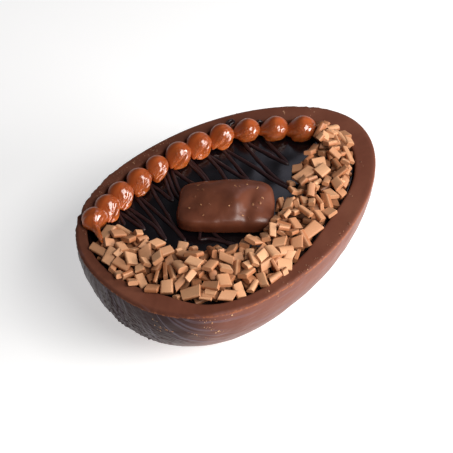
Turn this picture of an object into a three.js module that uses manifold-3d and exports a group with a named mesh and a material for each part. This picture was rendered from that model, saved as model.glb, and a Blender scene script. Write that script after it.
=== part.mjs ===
// Half a chocolate egg, laid level on a small flat spot and filled nearly to its rim: dark
// ganache with thin drizzled lines, a row of piped caramel dollops along one side, a coated
// bar in the middle and a bank of caramel flakes along the other side.
// Millimetres. +X runs to the pointed end, +Y to the dollops and +Z up; the origin is under
// the middle of the egg, on the surface that it stands on.
import * as THREE from "three";
import { mergeVertices } from "three/addons/utils/BufferGeometryUtils.js";
import Module from "manifold-3d";

const wasm = await Module();
wasm.setup();

// ---- driving dimensions

const gap = 0.3; // free space between neighbouring pieces

const egg = {
  length: 155,
  width: 105.7,
  lean: 9.3, // how far the widest place is shifted towards the blunt end
  bluntPower: 2.27, // roundness of the outline at each end, 2 being an ellipse
  pointedPower: 1.95,
  flatSpot: 1, // height shaved off the round bottom
  floorThickness: 8,
  columns: 56, // facets round the egg
  skinRows: 8, // facets from the flat spot up to the rim
  hollowRows: 6,
};

const rim = {
  width: 5.5, // the least thickness of the wall at the rim
  outerRound: 1.2,
  innerRound: 0.9,
  // The wall is thicker or thinner round these directions, in degrees from the pointed end.
  swells: [
    { at: 4, spread: 62, by: 6.2 },
    { at: 285, spread: 21, by: 3.7 },
    { at: 201, spread: 21, by: 5.2 },
    { at: 101, spread: 15, by: 1.5 },
    { at: 133, spread: 14, by: -0.9 },
  ],
};

const ganache = { belowRim: 3 };

const drizzle = {
  width: 1.7,
  shoulder: 0.4, // where a line is still full width, as a share of half its height
  proud: 0.7, // how far a line stands above the ganache, and how far it reaches in
  sunk: 0.5,
  step: 4.5, // length of one facet along a line
  // The turning points of the zigzag, from the pointed end to the blunt end, as x, y.
  zigzag: [
    [41, 22],
    [34.5, 1.5],
    [30.5, 27],
    [24.4, 1],
    [24.4, -10],
    [22, 4],
    [20.5, 32],
    [13.5, 8],
    [11.6, 33],
    [7, 12],
    [3.2, 34],
    [0.6, 22],
    [-5.5, 36],
    [-11.5, 27],
    [-12.5, 37],
    [-19, 23],
    [-19.5, 36],
    [-31.5, 10],
    [-33, -2],
    [-31, 8],
    [-29.5, 34],
    [-38.8, 6],
    [-38.6, 33],
    [-41.8, 16],
    [-41.5, 32],
    [-45.5, 26],
  ],
};

const dollop = {
  width: 12.6,
  height: 9.2,
  bulge: 0.55, // half height of the bulb, and height of its middle, as shares of the height
  middle: 0.45,
  tail: 0.5, // how far the tail is drawn out, as a share of the radius
  droop: 0.2, // how far the tail's end hangs down, as a share of the height
  taper: 0.42, // how much slimmer the tail's end is
  around: 14, // facets
  over: 9,
};
// Each dollop's middle as x, y, the way its tail points in degrees, and its relative size.
const dollops = [
  { at: [-56, 33.2], tailTo: 241, size: 0.98, tail: 1.75 },
  { at: [-46.6, 35.4], tailTo: 236, size: 0.96 },
  { at: [-36.9, 37.4], tailTo: 232, size: 0.98 },
  { at: [-24.9, 38.2], tailTo: 222, size: 1.02 },
  { at: [-13, 39], tailTo: 226, size: 0.95 },
  { at: [-0.2, 38.4], tailTo: 206, size: 1.03 },
  { at: [11.3, 36.8], tailTo: 205, size: 1 },
  { at: [23, 33.4], tailTo: 203, size: 1 },
  { at: [34.3, 27.4], tailTo: 148, size: 1.02 },
  { at: [44.9, 19], tailTo: 140, size: 1.06 },
  { at: [54.2, 9.8], tailTo: 138, size: 1.1 },
];

const bar = {
  at: [-8.4, -1.5],
  turn: -44.3, // degrees from +X to its long side
  length: 43.5,
  width: 24.6,
  height: 11.6,
  squareness: 5.2, // power of its plan outline, 2 being an ellipse
  foot: 1.5, // how far its lower edge is drawn in, and how high that reaches
  edgeRound: 4, // rounding of its upper edges
  crown: 4, // size of the flat middle of its top, half its width less this
  shave: { at: 36, spread: 23, by: 0.09 }, // the corner that is cut off, in degrees
  around: 36, // facets
  // Shallow dips across its top: place along its length, spread and depth.
  dips: [
    { at: 10.5, spread: 3, by: 1.1 },
    { at: 0, spread: 4, by: 0.35 },
  ],
};

const bank = {
  // The flakes lie against the rim between these directions, in degrees.
  from: 156,
  to: 377,
  stations: 16, // facets along the bare core
  crownHeight: 0.1, // height of the bare core over the rim at its crown and at its edges
  edgeHeight: -1.6,
  fullness: 0.6, // how broad its crown is: less is broader
  // Its inner side, in equal steps from the blunt end to the pointed end, as x, y.
  innerSide: [
    [-50, 24],
    [-44, 6.5],
    [-39, -3],
    [-32, -11],
    [-23, -18],
    [-11, -24.5],
    [7, -16],
    [24, -12],
    [34, -3.5],
    [47, -0.5],
    [61, 9],
  ],
};

const flake = {
  seed: 11,
  tries: 2600,
  length: [5.2, 7.4],
  width: [4, 5.6],
  thickness: [2, 2.7],
  spacing: 5.2, // least distance between the middles of two flakes
  margin: 1.7, // least distance of a flake's middle from the sides of the bank
  lift: [0.2, 1.5], // height of a flake's middle over the core
  tilt: 14, // most tilt of a flake, degrees
  roundShare: 0.25, // share of flakes with a rounded back
};

const finishes = {
  shell: { color: 0x6a4133, roughness: 0.45 },
  filling: { color: 0x231c20, roughness: 0.2 },
  bonbon: { color: 0x65382a, roughness: 0.4 },
  flakes: { color: 0xc08a60, roughness: 0.6 },
  dollop: { color: 0xa8481a, roughness: 0.15 },
};

// ---- what follows from them

const degrees = Math.PI / 180;
const rimHeight = egg.width / 2 - egg.flatSpot;
const ganacheHeight = rimHeight - ganache.belowRim;
const keel = findKeel();
const hollowDepth = eggRadius(keel.x) - egg.floorThickness;
// The rings that the shell's hollow and the ganache have in common, from the bottom up.
const levelShare = Math.sqrt(1 - ((ganache.belowRim - rim.innerRound) / hollowDepth) ** 2);
const hollowShares = Array.from({ length: egg.hollowRows }, (_, row) =>
  Math.sin((Math.asin(levelShare) * (row + 1)) / egg.hollowRows),
);

// ---- geometry helpers

// A closed solid from rings of equal size, stacked from the bottom pole to the top pole.
function stackRings(bottom, rings, top) {
  const count = rings[0].length;
  const points = [bottom, ...rings.flat(), top];
  const topRow = rings.length - 1;
  const at = (row, i) => 1 + row * count + (i % count);
  const faces = [];
  for (let i = 0; i < count; i++) {
    faces.push(0, at(0, i + 1), at(0, i));
    for (let row = 0; row < topRow; row++) {
      faces.push(at(row, i), at(row, i + 1), at(row + 1, i + 1));
      faces.push(at(row, i), at(row + 1, i + 1), at(row + 1, i));
    }
    faces.push(points.length - 1, at(topRow, i), at(topRow, i + 1));
  }
  return new THREE.BufferGeometry().setFromPoints(points).setIndex(faces);
}

// A closed solid through equal sections, with a flat cap at each end.
function loft(sections) {
  const count = sections[0].length;
  const end = sections.length - 1;
  const at = (row, i) => row * count + (i % count);
  const faces = [];
  for (let row = 0; row < end; row++) {
    for (let i = 0; i < count; i++) {
      faces.push(at(row, i), at(row + 1, i + 1), at(row, i + 1));
      faces.push(at(row, i), at(row + 1, i), at(row + 1, i + 1));
    }
  }
  for (let i = 1; i + 1 < count; i++) {
    faces.push(at(0, 0), at(0, i), at(0, i + 1));
    faces.push(at(end, 0), at(end, i + 1), at(end, i));
  }
  return new THREE.BufferGeometry().setFromPoints(sections.flat()).setIndex(faces);
}

function toSolid(geometry) {
  const bare = geometry.clone();
  bare.deleteAttribute("normal");
  bare.deleteAttribute("uv");
  const merged = mergeVertices(bare, 1e-3);
  return new wasm.Manifold(
    new wasm.Mesh({
      numProp: 3,
      vertProperties: new Float32Array(merged.attributes.position.array),
      triVerts: new Uint32Array(merged.index.array),
    }),
  );
}

function surfaceOf(solid) {
  const mesh = solid.getMesh();
  const geometry = new THREE.BufferGeometry();
  geometry.setAttribute("position", new THREE.BufferAttribute(mesh.vertProperties, 3));
  return geometry.setIndex(new THREE.BufferAttribute(mesh.triVerts, 1));
}

// The largest body of a cut solid; loose scraps and sealed bubbles are dropped. Merging its
// close vertices can part it once more, so that is done before the last choice.
function largestBody(solid) {
  const pick = (whole) => whole.decompose().sort((a, b) => b.volume() - a.volume())[0];
  return surfaceOf(pick(toSolid(surfaceOf(pick(solid)))));
}

function joinAll(solids) {
  return solids.reduce((whole, solid) => whole.add(solid));
}

function named(name, geometry, finish) {
  const flat = geometry.index ? geometry.toNonIndexed() : geometry;
  flat.computeVertexNormals();
  const mesh = new THREE.Mesh(flat, new THREE.MeshStandardMaterial({ ...finish, metalness: 0 }));
  mesh.name = name;
  return mesh;
}

// A repeatable random number from 0 to 1 at each call.
function randomFrom(seed) {
  let state = seed;
  return () => {
    state = (state + 0x6d2b79f5) | 0;
    let t = Math.imul(state ^ (state >>> 15), 1 | state);
    t = (t + Math.imul(t ^ (t >>> 7), 61 | t)) ^ t;
    return ((t ^ (t >>> 14)) >>> 0) / 2 ** 32;
  };
}

// ---- the egg's outline and skins; an angle of 0 is the pointed end

// The egg's radius round its long axis at x.
function eggRadius(x) {
  const power = x < 0 ? egg.bluntPower : egg.pointedPower;
  const end = Math.max(0, 1 - Math.abs((2 * x) / egg.length) ** power);
  const lean = egg.length ** 2 + 8 * egg.lean * x + 4 * egg.lean ** 2;
  return ((egg.width / 2) * end ** (1 / power) * egg.length) / Math.sqrt(lean);
}

// The lowest place on the egg's long axis, from which its rings spread.
function findKeel() {
  let best = 0;
  for (let x = -egg.length / 4; x < egg.length / 4; x += 0.25) {
    if (eggRadius(x) > eggRadius(best)) best = x;
  }
  return new THREE.Vector2(best, 0);
}

function outlinePoint(angle) {
  const power = Math.cos(angle) < 0 ? egg.bluntPower : egg.pointedPower;
  const x = (egg.length / 2) * Math.sign(Math.cos(angle)) * Math.abs(Math.cos(angle)) ** (2 / power);
  return new THREE.Vector2(x, Math.sign(Math.sin(angle)) * eggRadius(x));
}

function outlineNormal(angle) {
  const step = 0.01;
  const along = outlinePoint(angle + step).sub(outlinePoint(angle - step));
  return new THREE.Vector2(along.y, -along.x).normalize();
}

function rimWidth(angle) {
  let width = rim.width;
  for (const swell of rim.swells) {
    const turn = angle / degrees - swell.at;
    const away = turn - 360 * Math.round(turn / 360);
    width += swell.by * Math.exp(-((away / swell.spread) ** 2));
  }
  return width;
}

// The plan outline moved inwards from the rim's outer edge.
function insetPoint(angle, inset) {
  return outlinePoint(angle).addScaledVector(outlineNormal(angle), -inset);
}

// The inner edge of the rim, moved further in by extra.
function innerEdge(angle, extra = 0) {
  return insetPoint(angle, rimWidth(angle) + extra);
}

function ring(pointAt, count = egg.columns) {
  return Array.from({ length: count }, (_, i) => pointAt((i / count) * 2 * Math.PI));
}

function levelRing(planAt, height) {
  return ring((angle) => {
    const p = planAt(angle);
    return new THREE.Vector3(p.x, p.y, height);
  });
}

// A point of the outer skin, at a share of the way from the keel out to the rim.
function skinPoint(angle, share) {
  const p = outlinePoint(angle).sub(keel).multiplyScalar(share).add(keel);
  const drop = Math.sqrt(Math.max(0, eggRadius(p.x) ** 2 - p.y ** 2));
  return new THREE.Vector3(p.x, p.y, rimHeight - drop);
}

// The share of the way out at which the skin leaves the flat spot.
function flatShare(angle) {
  let low = 0;
  let high = 1;
  while (high - low > 1e-5) {
    const middle = (low + high) / 2;
    if (skinPoint(angle, middle).z > 0) high = middle;
    else low = middle;
  }
  return high;
}

// A point of the hollow's skin, drawn in by a clearance.
function hollowPoint(angle, share, clearance = 0) {
  const p = innerEdge(angle, clearance).sub(keel).multiplyScalar(share).add(keel);
  const drop = (hollowDepth - clearance) * Math.sqrt(1 - share ** 2);
  return new THREE.Vector3(p.x, p.y, rimHeight - rim.innerRound - drop);
}

// ---- shell

function makeShell() {
  const bevel = 1 - Math.SQRT1_2; // how far a rounded edge's middle is drawn in
  const outer = rim.outerRound;
  const inner = rim.innerRound;
  const rings = [ring((angle) => skinPoint(angle, flatShare(angle)).setZ(0))];
  for (let row = 1; row < egg.skinRows; row++) {
    rings.push(
      ring((angle) => {
        const start = Math.asin(flatShare(angle));
        return skinPoint(angle, Math.sin(THREE.MathUtils.lerp(start, Math.PI / 2, row / egg.skinRows)));
      }),
    );
  }
  rings.push(levelRing((angle) => insetPoint(angle, 0), rimHeight - outer));
  rings.push(levelRing((angle) => insetPoint(angle, outer * bevel), rimHeight - outer * bevel));
  rings.push(levelRing((angle) => insetPoint(angle, outer), rimHeight));
  rings.push(levelRing((angle) => innerEdge(angle, -inner), rimHeight));
  rings.push(levelRing((angle) => innerEdge(angle, -inner * bevel), rimHeight - inner * bevel));
  rings.push(ring((angle) => hollowPoint(angle, 1)));
  for (const share of hollowShares.toReversed()) rings.push(ring((angle) => hollowPoint(angle, share)));
  return stackRings(new THREE.Vector3(keel.x, keel.y, 0), rings, hollowPoint(0, 0));
}

// What toppings lie on, raised by the gap: the ganache, and the rim round it.
function makeBed() {
  const beyond = -8;
  const underside = ganacheHeight - 20;
  const rings = [
    levelRing((angle) => insetPoint(angle, beyond), underside),
    levelRing((angle) => insetPoint(angle, beyond), rimHeight + gap),
    levelRing((angle) => innerEdge(angle, gap), rimHeight + gap),
    levelRing((angle) => innerEdge(angle, gap), ganacheHeight + gap),
  ];
  const bottom = new THREE.Vector3(keel.x, keel.y, underside);
  return toSolid(stackRings(bottom, rings, new THREE.Vector3(keel.x, keel.y, ganacheHeight + gap)));
}

// ---- filling

// The closed body of ganache that fills the hollow up to its level.
function makePool() {
  const rings = hollowShares.map((share) => ring((angle) => hollowPoint(angle, share, gap)));
  rings.at(-1).forEach((p) => p.setZ(ganacheHeight));
  return stackRings(hollowPoint(0, 0, gap), rings, new THREE.Vector3(keel.x, keel.y, ganacheHeight));
}

// One leg of the drizzle: a low ridge from one turning point to the next.
function drizzleLeg(from, to) {
  const height = ganacheHeight + (drizzle.proud - drizzle.sunk) / 2;
  const ends = [from, to].map(([x, y]) => new THREE.Vector3(x, y, height));
  const route = new THREE.LineCurve3(...ends);
  const halfHeight = (drizzle.proud + drizzle.sunk) / 2;
  const halfWidth = drizzle.width / 2;
  const section = new THREE.Shape([
    new THREE.Vector2(-halfHeight, 0),
    new THREE.Vector2(-halfHeight * drizzle.shoulder, halfWidth),
    new THREE.Vector2(halfHeight, halfWidth),
    new THREE.Vector2(halfHeight, -halfWidth),
    new THREE.Vector2(-halfHeight * drizzle.shoulder, -halfWidth),
  ]);
  const steps = Math.ceil(route.getLength() / drizzle.step);
  return toSolid(new THREE.ExtrudeGeometry(section, { steps, extrudePath: route, bevelEnabled: false }));
}

function makeFilling(keptClear) {
  const turns = drizzle.zigzag;
  const legs = turns.slice(1).map((turn, i) => drizzleLeg(turns[i], turn));
  return largestBody(toSolid(makePool()).add(joinAll(legs).subtract(keptClear)));
}

// ---- dollops

// A piped dollop: a round bulb drawn out to a tail, enlarged all round by grow.
function dollopShape(item, grow = 0) {
  const radius = (dollop.width * item.size) / 2;
  const tail = item.tail ?? dollop.tail;
  const geometry = new THREE.SphereGeometry(1, dollop.around, dollop.over).rotateX(Math.PI / 2);
  const position = geometry.attributes.position;
  const p = new THREE.Vector3();
  for (let i = 0; i < position.count; i++) {
    p.fromBufferAttribute(position, i);
    const along = Math.max(0, p.x) ** 2;
    const slim = 1 - dollop.taper * along * Math.min(1, 0.6 + tail / 2);
    const droop = dollop.droop * along * Math.min(1, tail);
    position.setXYZ(
      i,
      p.x * ((1 + tail * along) * radius + grow),
      p.y * (slim * radius + grow),
      p.z * (slim * dollop.height * dollop.bulge * item.size + grow) + dollop.height * (dollop.middle - droop),
    );
  }
  geometry.rotateZ(item.tailTo * degrees);
  return toSolid(geometry.translate(...item.at, ganacheHeight));
}

// Each dollop is cut by the bed and by the one piped over it.
function makeDollop(item, index) {
  const solid = dollopShape(item).subtract(bed);
  return largestBody(index > 0 ? solid.subtract(dollopShape(dollops[index - 1], gap)) : solid);
}

// ---- bar

function barOutline(angle, inset) {
  const power = 2 / bar.squareness;
  const away = (angle / degrees - bar.shave.at) / bar.shave.spread;
  const shaved = 1 - bar.shave.by * Math.exp(-away * away);
  const side = (value, size) => Math.sign(value) * Math.abs(value) ** power * (size / 2 - inset) * shaved;
  return new THREE.Vector2(side(Math.cos(angle), bar.length), side(Math.sin(angle), bar.width));
}

function barDip(x) {
  return bar.dips.reduce((sum, dip) => sum + dip.by * Math.exp(-(((x - dip.at) / dip.spread) ** 2)), 0);
}

// The coated bar, from its drawn-in foot to its dipped top, enlarged all round by grow.
function makeBar(grow = 0) {
  const layer = (inset, height, dipShare = 0) =>
    ring((angle) => {
      const p = barOutline(angle, inset - grow);
      return new THREE.Vector3(p.x, p.y, height - dipShare * barDip(p.x));
    }, bar.around);
  const top = bar.height + grow;
  const rings = [
    layer(bar.foot, -grow),
    layer(0, bar.foot),
    layer(0, bar.height - bar.edgeRound),
    layer(bar.edgeRound * 0.25, top - bar.edgeRound * 0.35, 0.5),
    layer(bar.edgeRound * 0.75, top - bar.edgeRound * 0.08, 0.9),
    layer(bar.width / 2 - bar.crown, top, 1),
  ];
  const geometry = stackRings(new THREE.Vector3(0, 0, -grow), rings, new THREE.Vector3(0, 0, top - barDip(0)));
  return geometry.rotateZ(bar.turn * degrees).translate(...bar.at, ganacheHeight + gap);
}

// ---- flakes

const innerSide = new THREE.CatmullRomCurve3(
  bank.innerSide.map(([x, y]) => new THREE.Vector3(x, y, 0)),
  false,
  "catmullrom",
);

// A place in the bank: along it from 0 to 1, and across it from the rim inwards.
function bankPoint(along, across) {
  const inner = innerSide.getPoint(along);
  const outer = innerEdge(THREE.MathUtils.lerp(bank.from, bank.to, along) * degrees, gap);
  return outer.lerp(new THREE.Vector2(inner.x, inner.y), across);
}

// The height of the bare core, from its outer side to its inner side.
function coreHeight(across) {
  const crown = Math.sin(Math.PI * across) ** bank.fullness;
  return rimHeight + THREE.MathUtils.lerp(bank.edgeHeight, bank.crownHeight, crown);
}

// The bare core of the flakes: a low bank that lies against the rim.
function makeCore() {
  const shares = [0, 0.25, 0.7, 0.94];
  const sections = [];
  for (let i = 0; i <= bank.stations; i++) {
    const along = THREE.MathUtils.lerp(0.01, 0.99, i / bank.stations);
    const corner = (across, height) => {
      const p = bankPoint(along, across);
      return new THREE.Vector3(p.x, p.y, height);
    };
    const top = shares.map((across) => corner(across, coreHeight(across)));
    const foot = [shares.at(-1), shares[0]].map((across) => corner(across, ganacheHeight + gap));
    sections.push([...top, ...foot]);
  }
  return toSolid(loft(sections));
}

// One flake, lying flat round the origin: a small slab, or one with a rounded back.
function flakeShape(length, width, thickness, isRound) {
  if (!isRound) return new THREE.BoxGeometry(length, width, thickness);
  const half = width / 2;
  const section = new THREE.Shape([
    new THREE.Vector2(-half, -thickness / 2),
    new THREE.Vector2(half, -thickness / 2),
    new THREE.Vector2(half * 0.8, thickness * 0.25),
    new THREE.Vector2(0, thickness * 0.6),
    new THREE.Vector2(-half * 0.8, thickness * 0.25),
  ]);
  const prism = new THREE.ExtrudeGeometry(section, { depth: length, bevelEnabled: false });
  return prism.translate(0, 0, -length / 2).rotateX(Math.PI / 2);
}

// Flakes scattered over the core, at least one spacing apart.
function scatterFlakes() {
  const random = randomFrom(flake.seed);
  const between = ([low, high]) => THREE.MathUtils.lerp(low, high, random());
  const tilt = () => between([-flake.tilt, flake.tilt]) * degrees;
  const middles = [];
  const solids = [];
  for (let i = 0; i < flake.tries; i++) {
    const along = random();
    const margin = flake.margin / bankPoint(along, 0).distanceTo(bankPoint(along, 1));
    const across = between([margin, 1 - margin]);
    const middle = bankPoint(along, across);
    if (middles.some((other) => other.distanceTo(middle) < flake.spacing)) continue;
    middles.push(middle);
    const size = [between(flake.length), between(flake.width), between(flake.thickness)];
    const geometry = flakeShape(...size, random() < flake.roundShare);
    geometry.rotateX(tilt()).rotateY(tilt()).rotateZ(random() * Math.PI);
    geometry.translate(middle.x, middle.y, coreHeight(across) + between(flake.lift));
    solids.push(toSolid(geometry));
  }
  return solids;
}

// ---- the whole egg

const bed = makeBed();
const neighbours = joinAll([toSolid(makeBar(gap)), ...dollops.map((item) => dollopShape(item, gap))]);
const core = makeCore().subtract(neighbours);
const keptClear = neighbours.add(bed);
const flakes = scatterFlakes().map((solid) => solid.subtract(keptClear));

const part = new THREE.Group();
part.add(named("shell", makeShell(), finishes.shell));
part.add(named("filling", makeFilling(neighbours.add(core)), finishes.filling));
part.add(named("bonbon", makeBar(), finishes.bonbon));
part.add(named("flakes", largestBody(joinAll([core, ...flakes])), finishes.flakes));
dollops.forEach((item, index) => {
  const name = "dollop_" + String(index + 1).padStart(2, "0");
  part.add(named(name, makeDollop(item, index), finishes.dollop));
});
export default part;
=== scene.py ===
import math

import bpy
import numpy as np
from mathutils import Matrix, Vector


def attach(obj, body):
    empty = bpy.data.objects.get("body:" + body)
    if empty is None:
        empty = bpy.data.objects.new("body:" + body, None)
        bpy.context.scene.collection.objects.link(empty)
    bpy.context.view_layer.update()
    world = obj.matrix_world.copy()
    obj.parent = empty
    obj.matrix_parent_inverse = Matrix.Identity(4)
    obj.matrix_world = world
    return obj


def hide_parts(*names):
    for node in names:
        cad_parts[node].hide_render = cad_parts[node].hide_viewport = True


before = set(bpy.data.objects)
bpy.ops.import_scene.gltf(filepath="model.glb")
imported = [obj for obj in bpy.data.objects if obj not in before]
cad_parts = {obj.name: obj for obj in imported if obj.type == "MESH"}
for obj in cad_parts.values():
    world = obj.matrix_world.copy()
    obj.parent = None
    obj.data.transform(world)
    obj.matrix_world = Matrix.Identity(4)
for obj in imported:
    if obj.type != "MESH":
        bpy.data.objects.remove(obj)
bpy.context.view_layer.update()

# Half a chocolate egg on its back, filled with dark glaze and topped with a row of caramel
# drops, a coated bar and a bank of caramel flakes. Numbers are millimetres and degrees, and are
# multiplied by mm when they reach Blender. Only the camera and the lamps are placed in metres.
mm = 0.001
rimHeight = 51.85
glazeHeight = 48.85
gap = 0.3  # free space between neighbouring pieces

cameraSet = {
    "position": (-0.34012, -0.34205, 0.52574),
    "aim": (-0.00992, -0.00323, 0.04280),
    "lens": 119.2,
    "sensor": 36,
}


def addCamera():
    deselectAll()
    bpy.ops.object.camera_add(location=cameraSet["position"])
    thing = bpy.context.object
    way = Vector(cameraSet["aim"]) - Vector(cameraSet["position"])
    thing.rotation_euler = way.to_track_quat("-Z", "Y").to_euler()
    thing.data.lens = cameraSet["lens"]
    thing.data.sensor_width = cameraSet["sensor"]
    thing.data.clip_start = 0.01
    thing.data.dof.use_dof = False
    bpy.context.scene.camera = thing


def deselectAll():
    for thing in list(bpy.context.selected_objects):
        thing.select_set(False)


def activate(thing):
    deselectAll()
    thing.select_set(True)
    bpy.context.view_layer.objects.active = thing


def readPoints(thing):
    points = np.empty(len(thing.data.vertices) * 3)
    thing.data.vertices.foreach_get("co", points)
    return points.reshape(-1, 3)


def writePoints(thing, points):
    thing.data.vertices.foreach_set("co", np.ascontiguousarray(points, dtype=np.float32).ravel())
    thing.data.update()


def readNormals(thing):
    normals = np.empty(len(thing.data.vertices) * 3)
    thing.data.vertex_normals.foreach_get("vector", normals)
    return normals.reshape(-1, 3)


def writeAttribute(thing, name, values, domain="POINT"):
    kind = "FLOAT_VECTOR" if values.ndim == 2 else "FLOAT"
    attribute = thing.data.attributes.new(name, kind, domain)
    field = "vector" if values.ndim == 2 else "value"
    attribute.data.foreach_set(field, np.ascontiguousarray(values, dtype=np.float32).ravel())


# Leaves nothing of the mesh selected, ready for a choice of vertices or edges.
def clearChoice(thing, kind):
    activate(thing)
    bpy.ops.object.mode_set(mode="EDIT")
    bpy.ops.mesh.select_mode(type=kind)
    bpy.ops.mesh.select_all(action="DESELECT")
    bpy.ops.object.mode_set(mode="OBJECT")


# Leaves the object in edit mode with only these vertices selected.
def selectPoints(thing, chosen):
    clearChoice(thing, "VERT")
    thing.data.vertices.foreach_set("select", np.ascontiguousarray(chosen, dtype=bool))
    bpy.ops.object.mode_set(mode="EDIT")


# Leaves the object in edit mode with only these edges selected.
def selectEdges(thing, isChosen):
    clearChoice(thing, "EDGE")
    points = thing.data.vertices
    for edge in thing.data.edges:
        edge.select = isChosen(points[edge.vertices[0]].co / mm, points[edge.vertices[1]].co / mm)
    bpy.ops.object.mode_set(mode="EDIT")


def leaveEditing():
    bpy.ops.object.mode_set(mode="OBJECT")


def applyPlace(thing):
    activate(thing)
    bpy.ops.object.transform_apply(location=True, rotation=True, scale=True)


def addSphere(name, around, over, sideways=False):
    deselectAll()
    turn = (0, math.pi / 2, 0) if sideways else (0, 0, 0)
    bpy.ops.mesh.primitive_uv_sphere_add(segments=around, ring_count=over, radius=1, rotation=turn)
    thing = bpy.context.object
    thing.name = name
    applyPlace(thing)
    return thing


def copyPiece(thing, name):
    copied = thing.copy()
    copied.data = thing.data.copy()
    copied.name = name
    bpy.context.collection.objects.link(copied)
    return copied


def joinPieces(things, name):
    activate(things[0])
    for thing in things:
        thing.select_set(True)
    bpy.ops.object.join()
    joined = bpy.context.object
    joined.name = name
    joined.data.name = name
    return joined


def removePiece(thing):
    mesh = thing.data
    bpy.data.objects.remove(thing)
    bpy.data.meshes.remove(mesh)


def smoothFaces(thing, angle=180):
    activate(thing)
    if angle < 180:
        bpy.ops.object.shade_smooth_by_angle(angle=math.radians(angle))
    else:
        bpy.ops.object.shade_smooth()


def finishPiece(thing, finish, nodes):
    thing.data.materials.clear()
    thing.data.materials.append(finish.material)
    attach(thing, "root")
    if nodes:
        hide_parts(*nodes)


# A smooth random field of about -1 to 1: waves of one typical length in all directions.
def rippleField(seed, size, waves=22):
    draw = np.random.default_rng(seed)
    ways = draw.normal(size=(waves, 3))
    ways *= draw.uniform(0.6, 1.5, (waves, 1)) / np.linalg.norm(ways, axis=1, keepdims=True)
    ways *= 2 * math.pi / size
    starts = draw.uniform(0, 2 * math.pi, waves)
    return lambda points: np.sin(points @ ways.T + starts).sum(axis=1) / math.sqrt(waves / 2) / 2


# Such a field with its seed, size and depth given together.
def ripples(named, points):
    seed, size, depth = named
    return rippleField(seed, size)(points) * depth


def smoothStep(low, high, values):
    share = np.clip((values - low) / (high - low), 0, 1)
    return share * share * (3 - 2 * share)


def hump(values, middle, spread):
    return np.exp(-(((values - middle) / spread) ** 2))


# Turns points seen from above about the origin, by radians.
def turnPlan(plan, angle):
    c, s = math.cos(angle), math.sin(angle)
    return plan @ np.array([[c, s], [-s, c]])


# Points at equal steps on a smooth line through the given ones.
def smoothRoute(knots, step):
    knots = np.array(knots, dtype=float)
    padded = np.vstack([2 * knots[0] - knots[1], knots, 2 * knots[-1] - knots[-2]])
    found = []
    for i in range(1, len(padded) - 2):
        a, b, c, d = padded[i - 1 : i + 3]
        count = max(2, int(np.linalg.norm(c - b) / step))
        t = np.linspace(0, 1, count, endpoint=False)[:, None]
        curved = (2 * a - 5 * b + 4 * c - d) * t**2 + (3 * b - a - 3 * c + d) * t**3
        found.append(0.5 * (2 * b + (c - a) * t + curved))
    return np.vstack(found + [padded[-2:-1]])


# A socket that takes part in sums.
class Wire:
    def __init__(self, finish, socket):
        self.finish = finish
        self.socket = socket

    def calculate(self, operation, first, second):
        return self.finish.add("ShaderNodeMath", {"operation": operation}, {0: first, 1: second})

    def __add__(self, other):
        return self.calculate("ADD", self, other)

    def __radd__(self, other):
        return self.calculate("ADD", other, self)

    def __sub__(self, other):
        return self.calculate("SUBTRACT", self, other)

    def __rsub__(self, other):
        return self.calculate("SUBTRACT", other, self)

    def __mul__(self, other):
        return self.calculate("MULTIPLY", self, other)

    def __rmul__(self, other):
        return self.calculate("MULTIPLY", other, self)


# A material with one Principled shader.
class Finish:
    def __init__(self, name, constants):
        self.material = bpy.data.materials.new(name)
        self.material.use_nodes = True
        self.tree = self.material.node_tree
        self.tree.nodes.clear()
        self.shader = self.tree.nodes.new("ShaderNodeBsdfPrincipled")
        sheet = self.tree.nodes.new("ShaderNodeOutputMaterial")
        self.tree.links.new(self.shader.outputs[0], sheet.inputs["Surface"])
        for field, value in constants.items():
            self.shader.inputs[field].default_value = value

    def add(self, kind, settings, inputs, output=0):
        node = self.tree.nodes.new(kind)
        for name, value in settings.items():
            setattr(node, name, value)
        for name, value in inputs.items():
            if isinstance(value, Wire):
                self.tree.links.new(value.socket, node.inputs[name])
            else:
                node.inputs[name].default_value = value
        return Wire(self, node.outputs[output])

    def feed(self, field, value):
        self.tree.links.new(value.socket, self.shader.inputs[field])

    def place(self):
        return self.add("ShaderNodeTexCoord", {}, {}, 3)

    def attribute(self, name, output=2):
        return self.add("ShaderNodeAttribute", {"attribute_name": name}, {}, output)

    # Noise with features of about this size in millimetres, or in an attribute's own units.
    def noise(self, size, detail=2, vector=None, unit=mm, roughness=0.5):
        fields = {"Scale": 1 / (size * unit), "Detail": detail, "Roughness": roughness}
        fields["Vector"] = vector or self.place()
        return self.add("ShaderNodeTexNoise", {"noise_dimensions": "3D"}, fields)

    # 0 below low, 1 above high, smooth between.
    def band(self, value, low, high):
        fields = {"Value": value, "From Min": low, "From Max": high}
        return self.add("ShaderNodeMapRange", {"interpolation_type": "SMOOTHSTEP"}, fields)

    def blend(self, share, first, second):
        fields = {0: share, 6: first, 7: second}
        return self.add("ShaderNodeMix", {"data_type": "RGBA"}, fields, 2)

    def shade(self, colour, share):
        fields = {0: colour, 3: share}
        return self.add("ShaderNodeVectorMath", {"operation": "SCALE"}, fields)

    def stretch(self, vector, factors):
        return self.add("ShaderNodeVectorMath", {"operation": "MULTIPLY"}, {0: vector, 1: factors})

    def bump(self, height, depth, strength=1.0, after=None):
        fields = {"Height": height, "Distance": depth * mm, "Strength": strength}
        if after:
            fields["Normal"] = after
        return self.add("ShaderNodeBump", {}, fields)


# Screen values from 0 to 255 as a linear colour.
def tint(*levels):
    shares = [level / 255 for level in levels]
    return tuple(v / 12.92 if v < 10 / 255 else ((v + 0.055) / 1.055) ** 2.4 for v in shares) + (1,)


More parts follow.
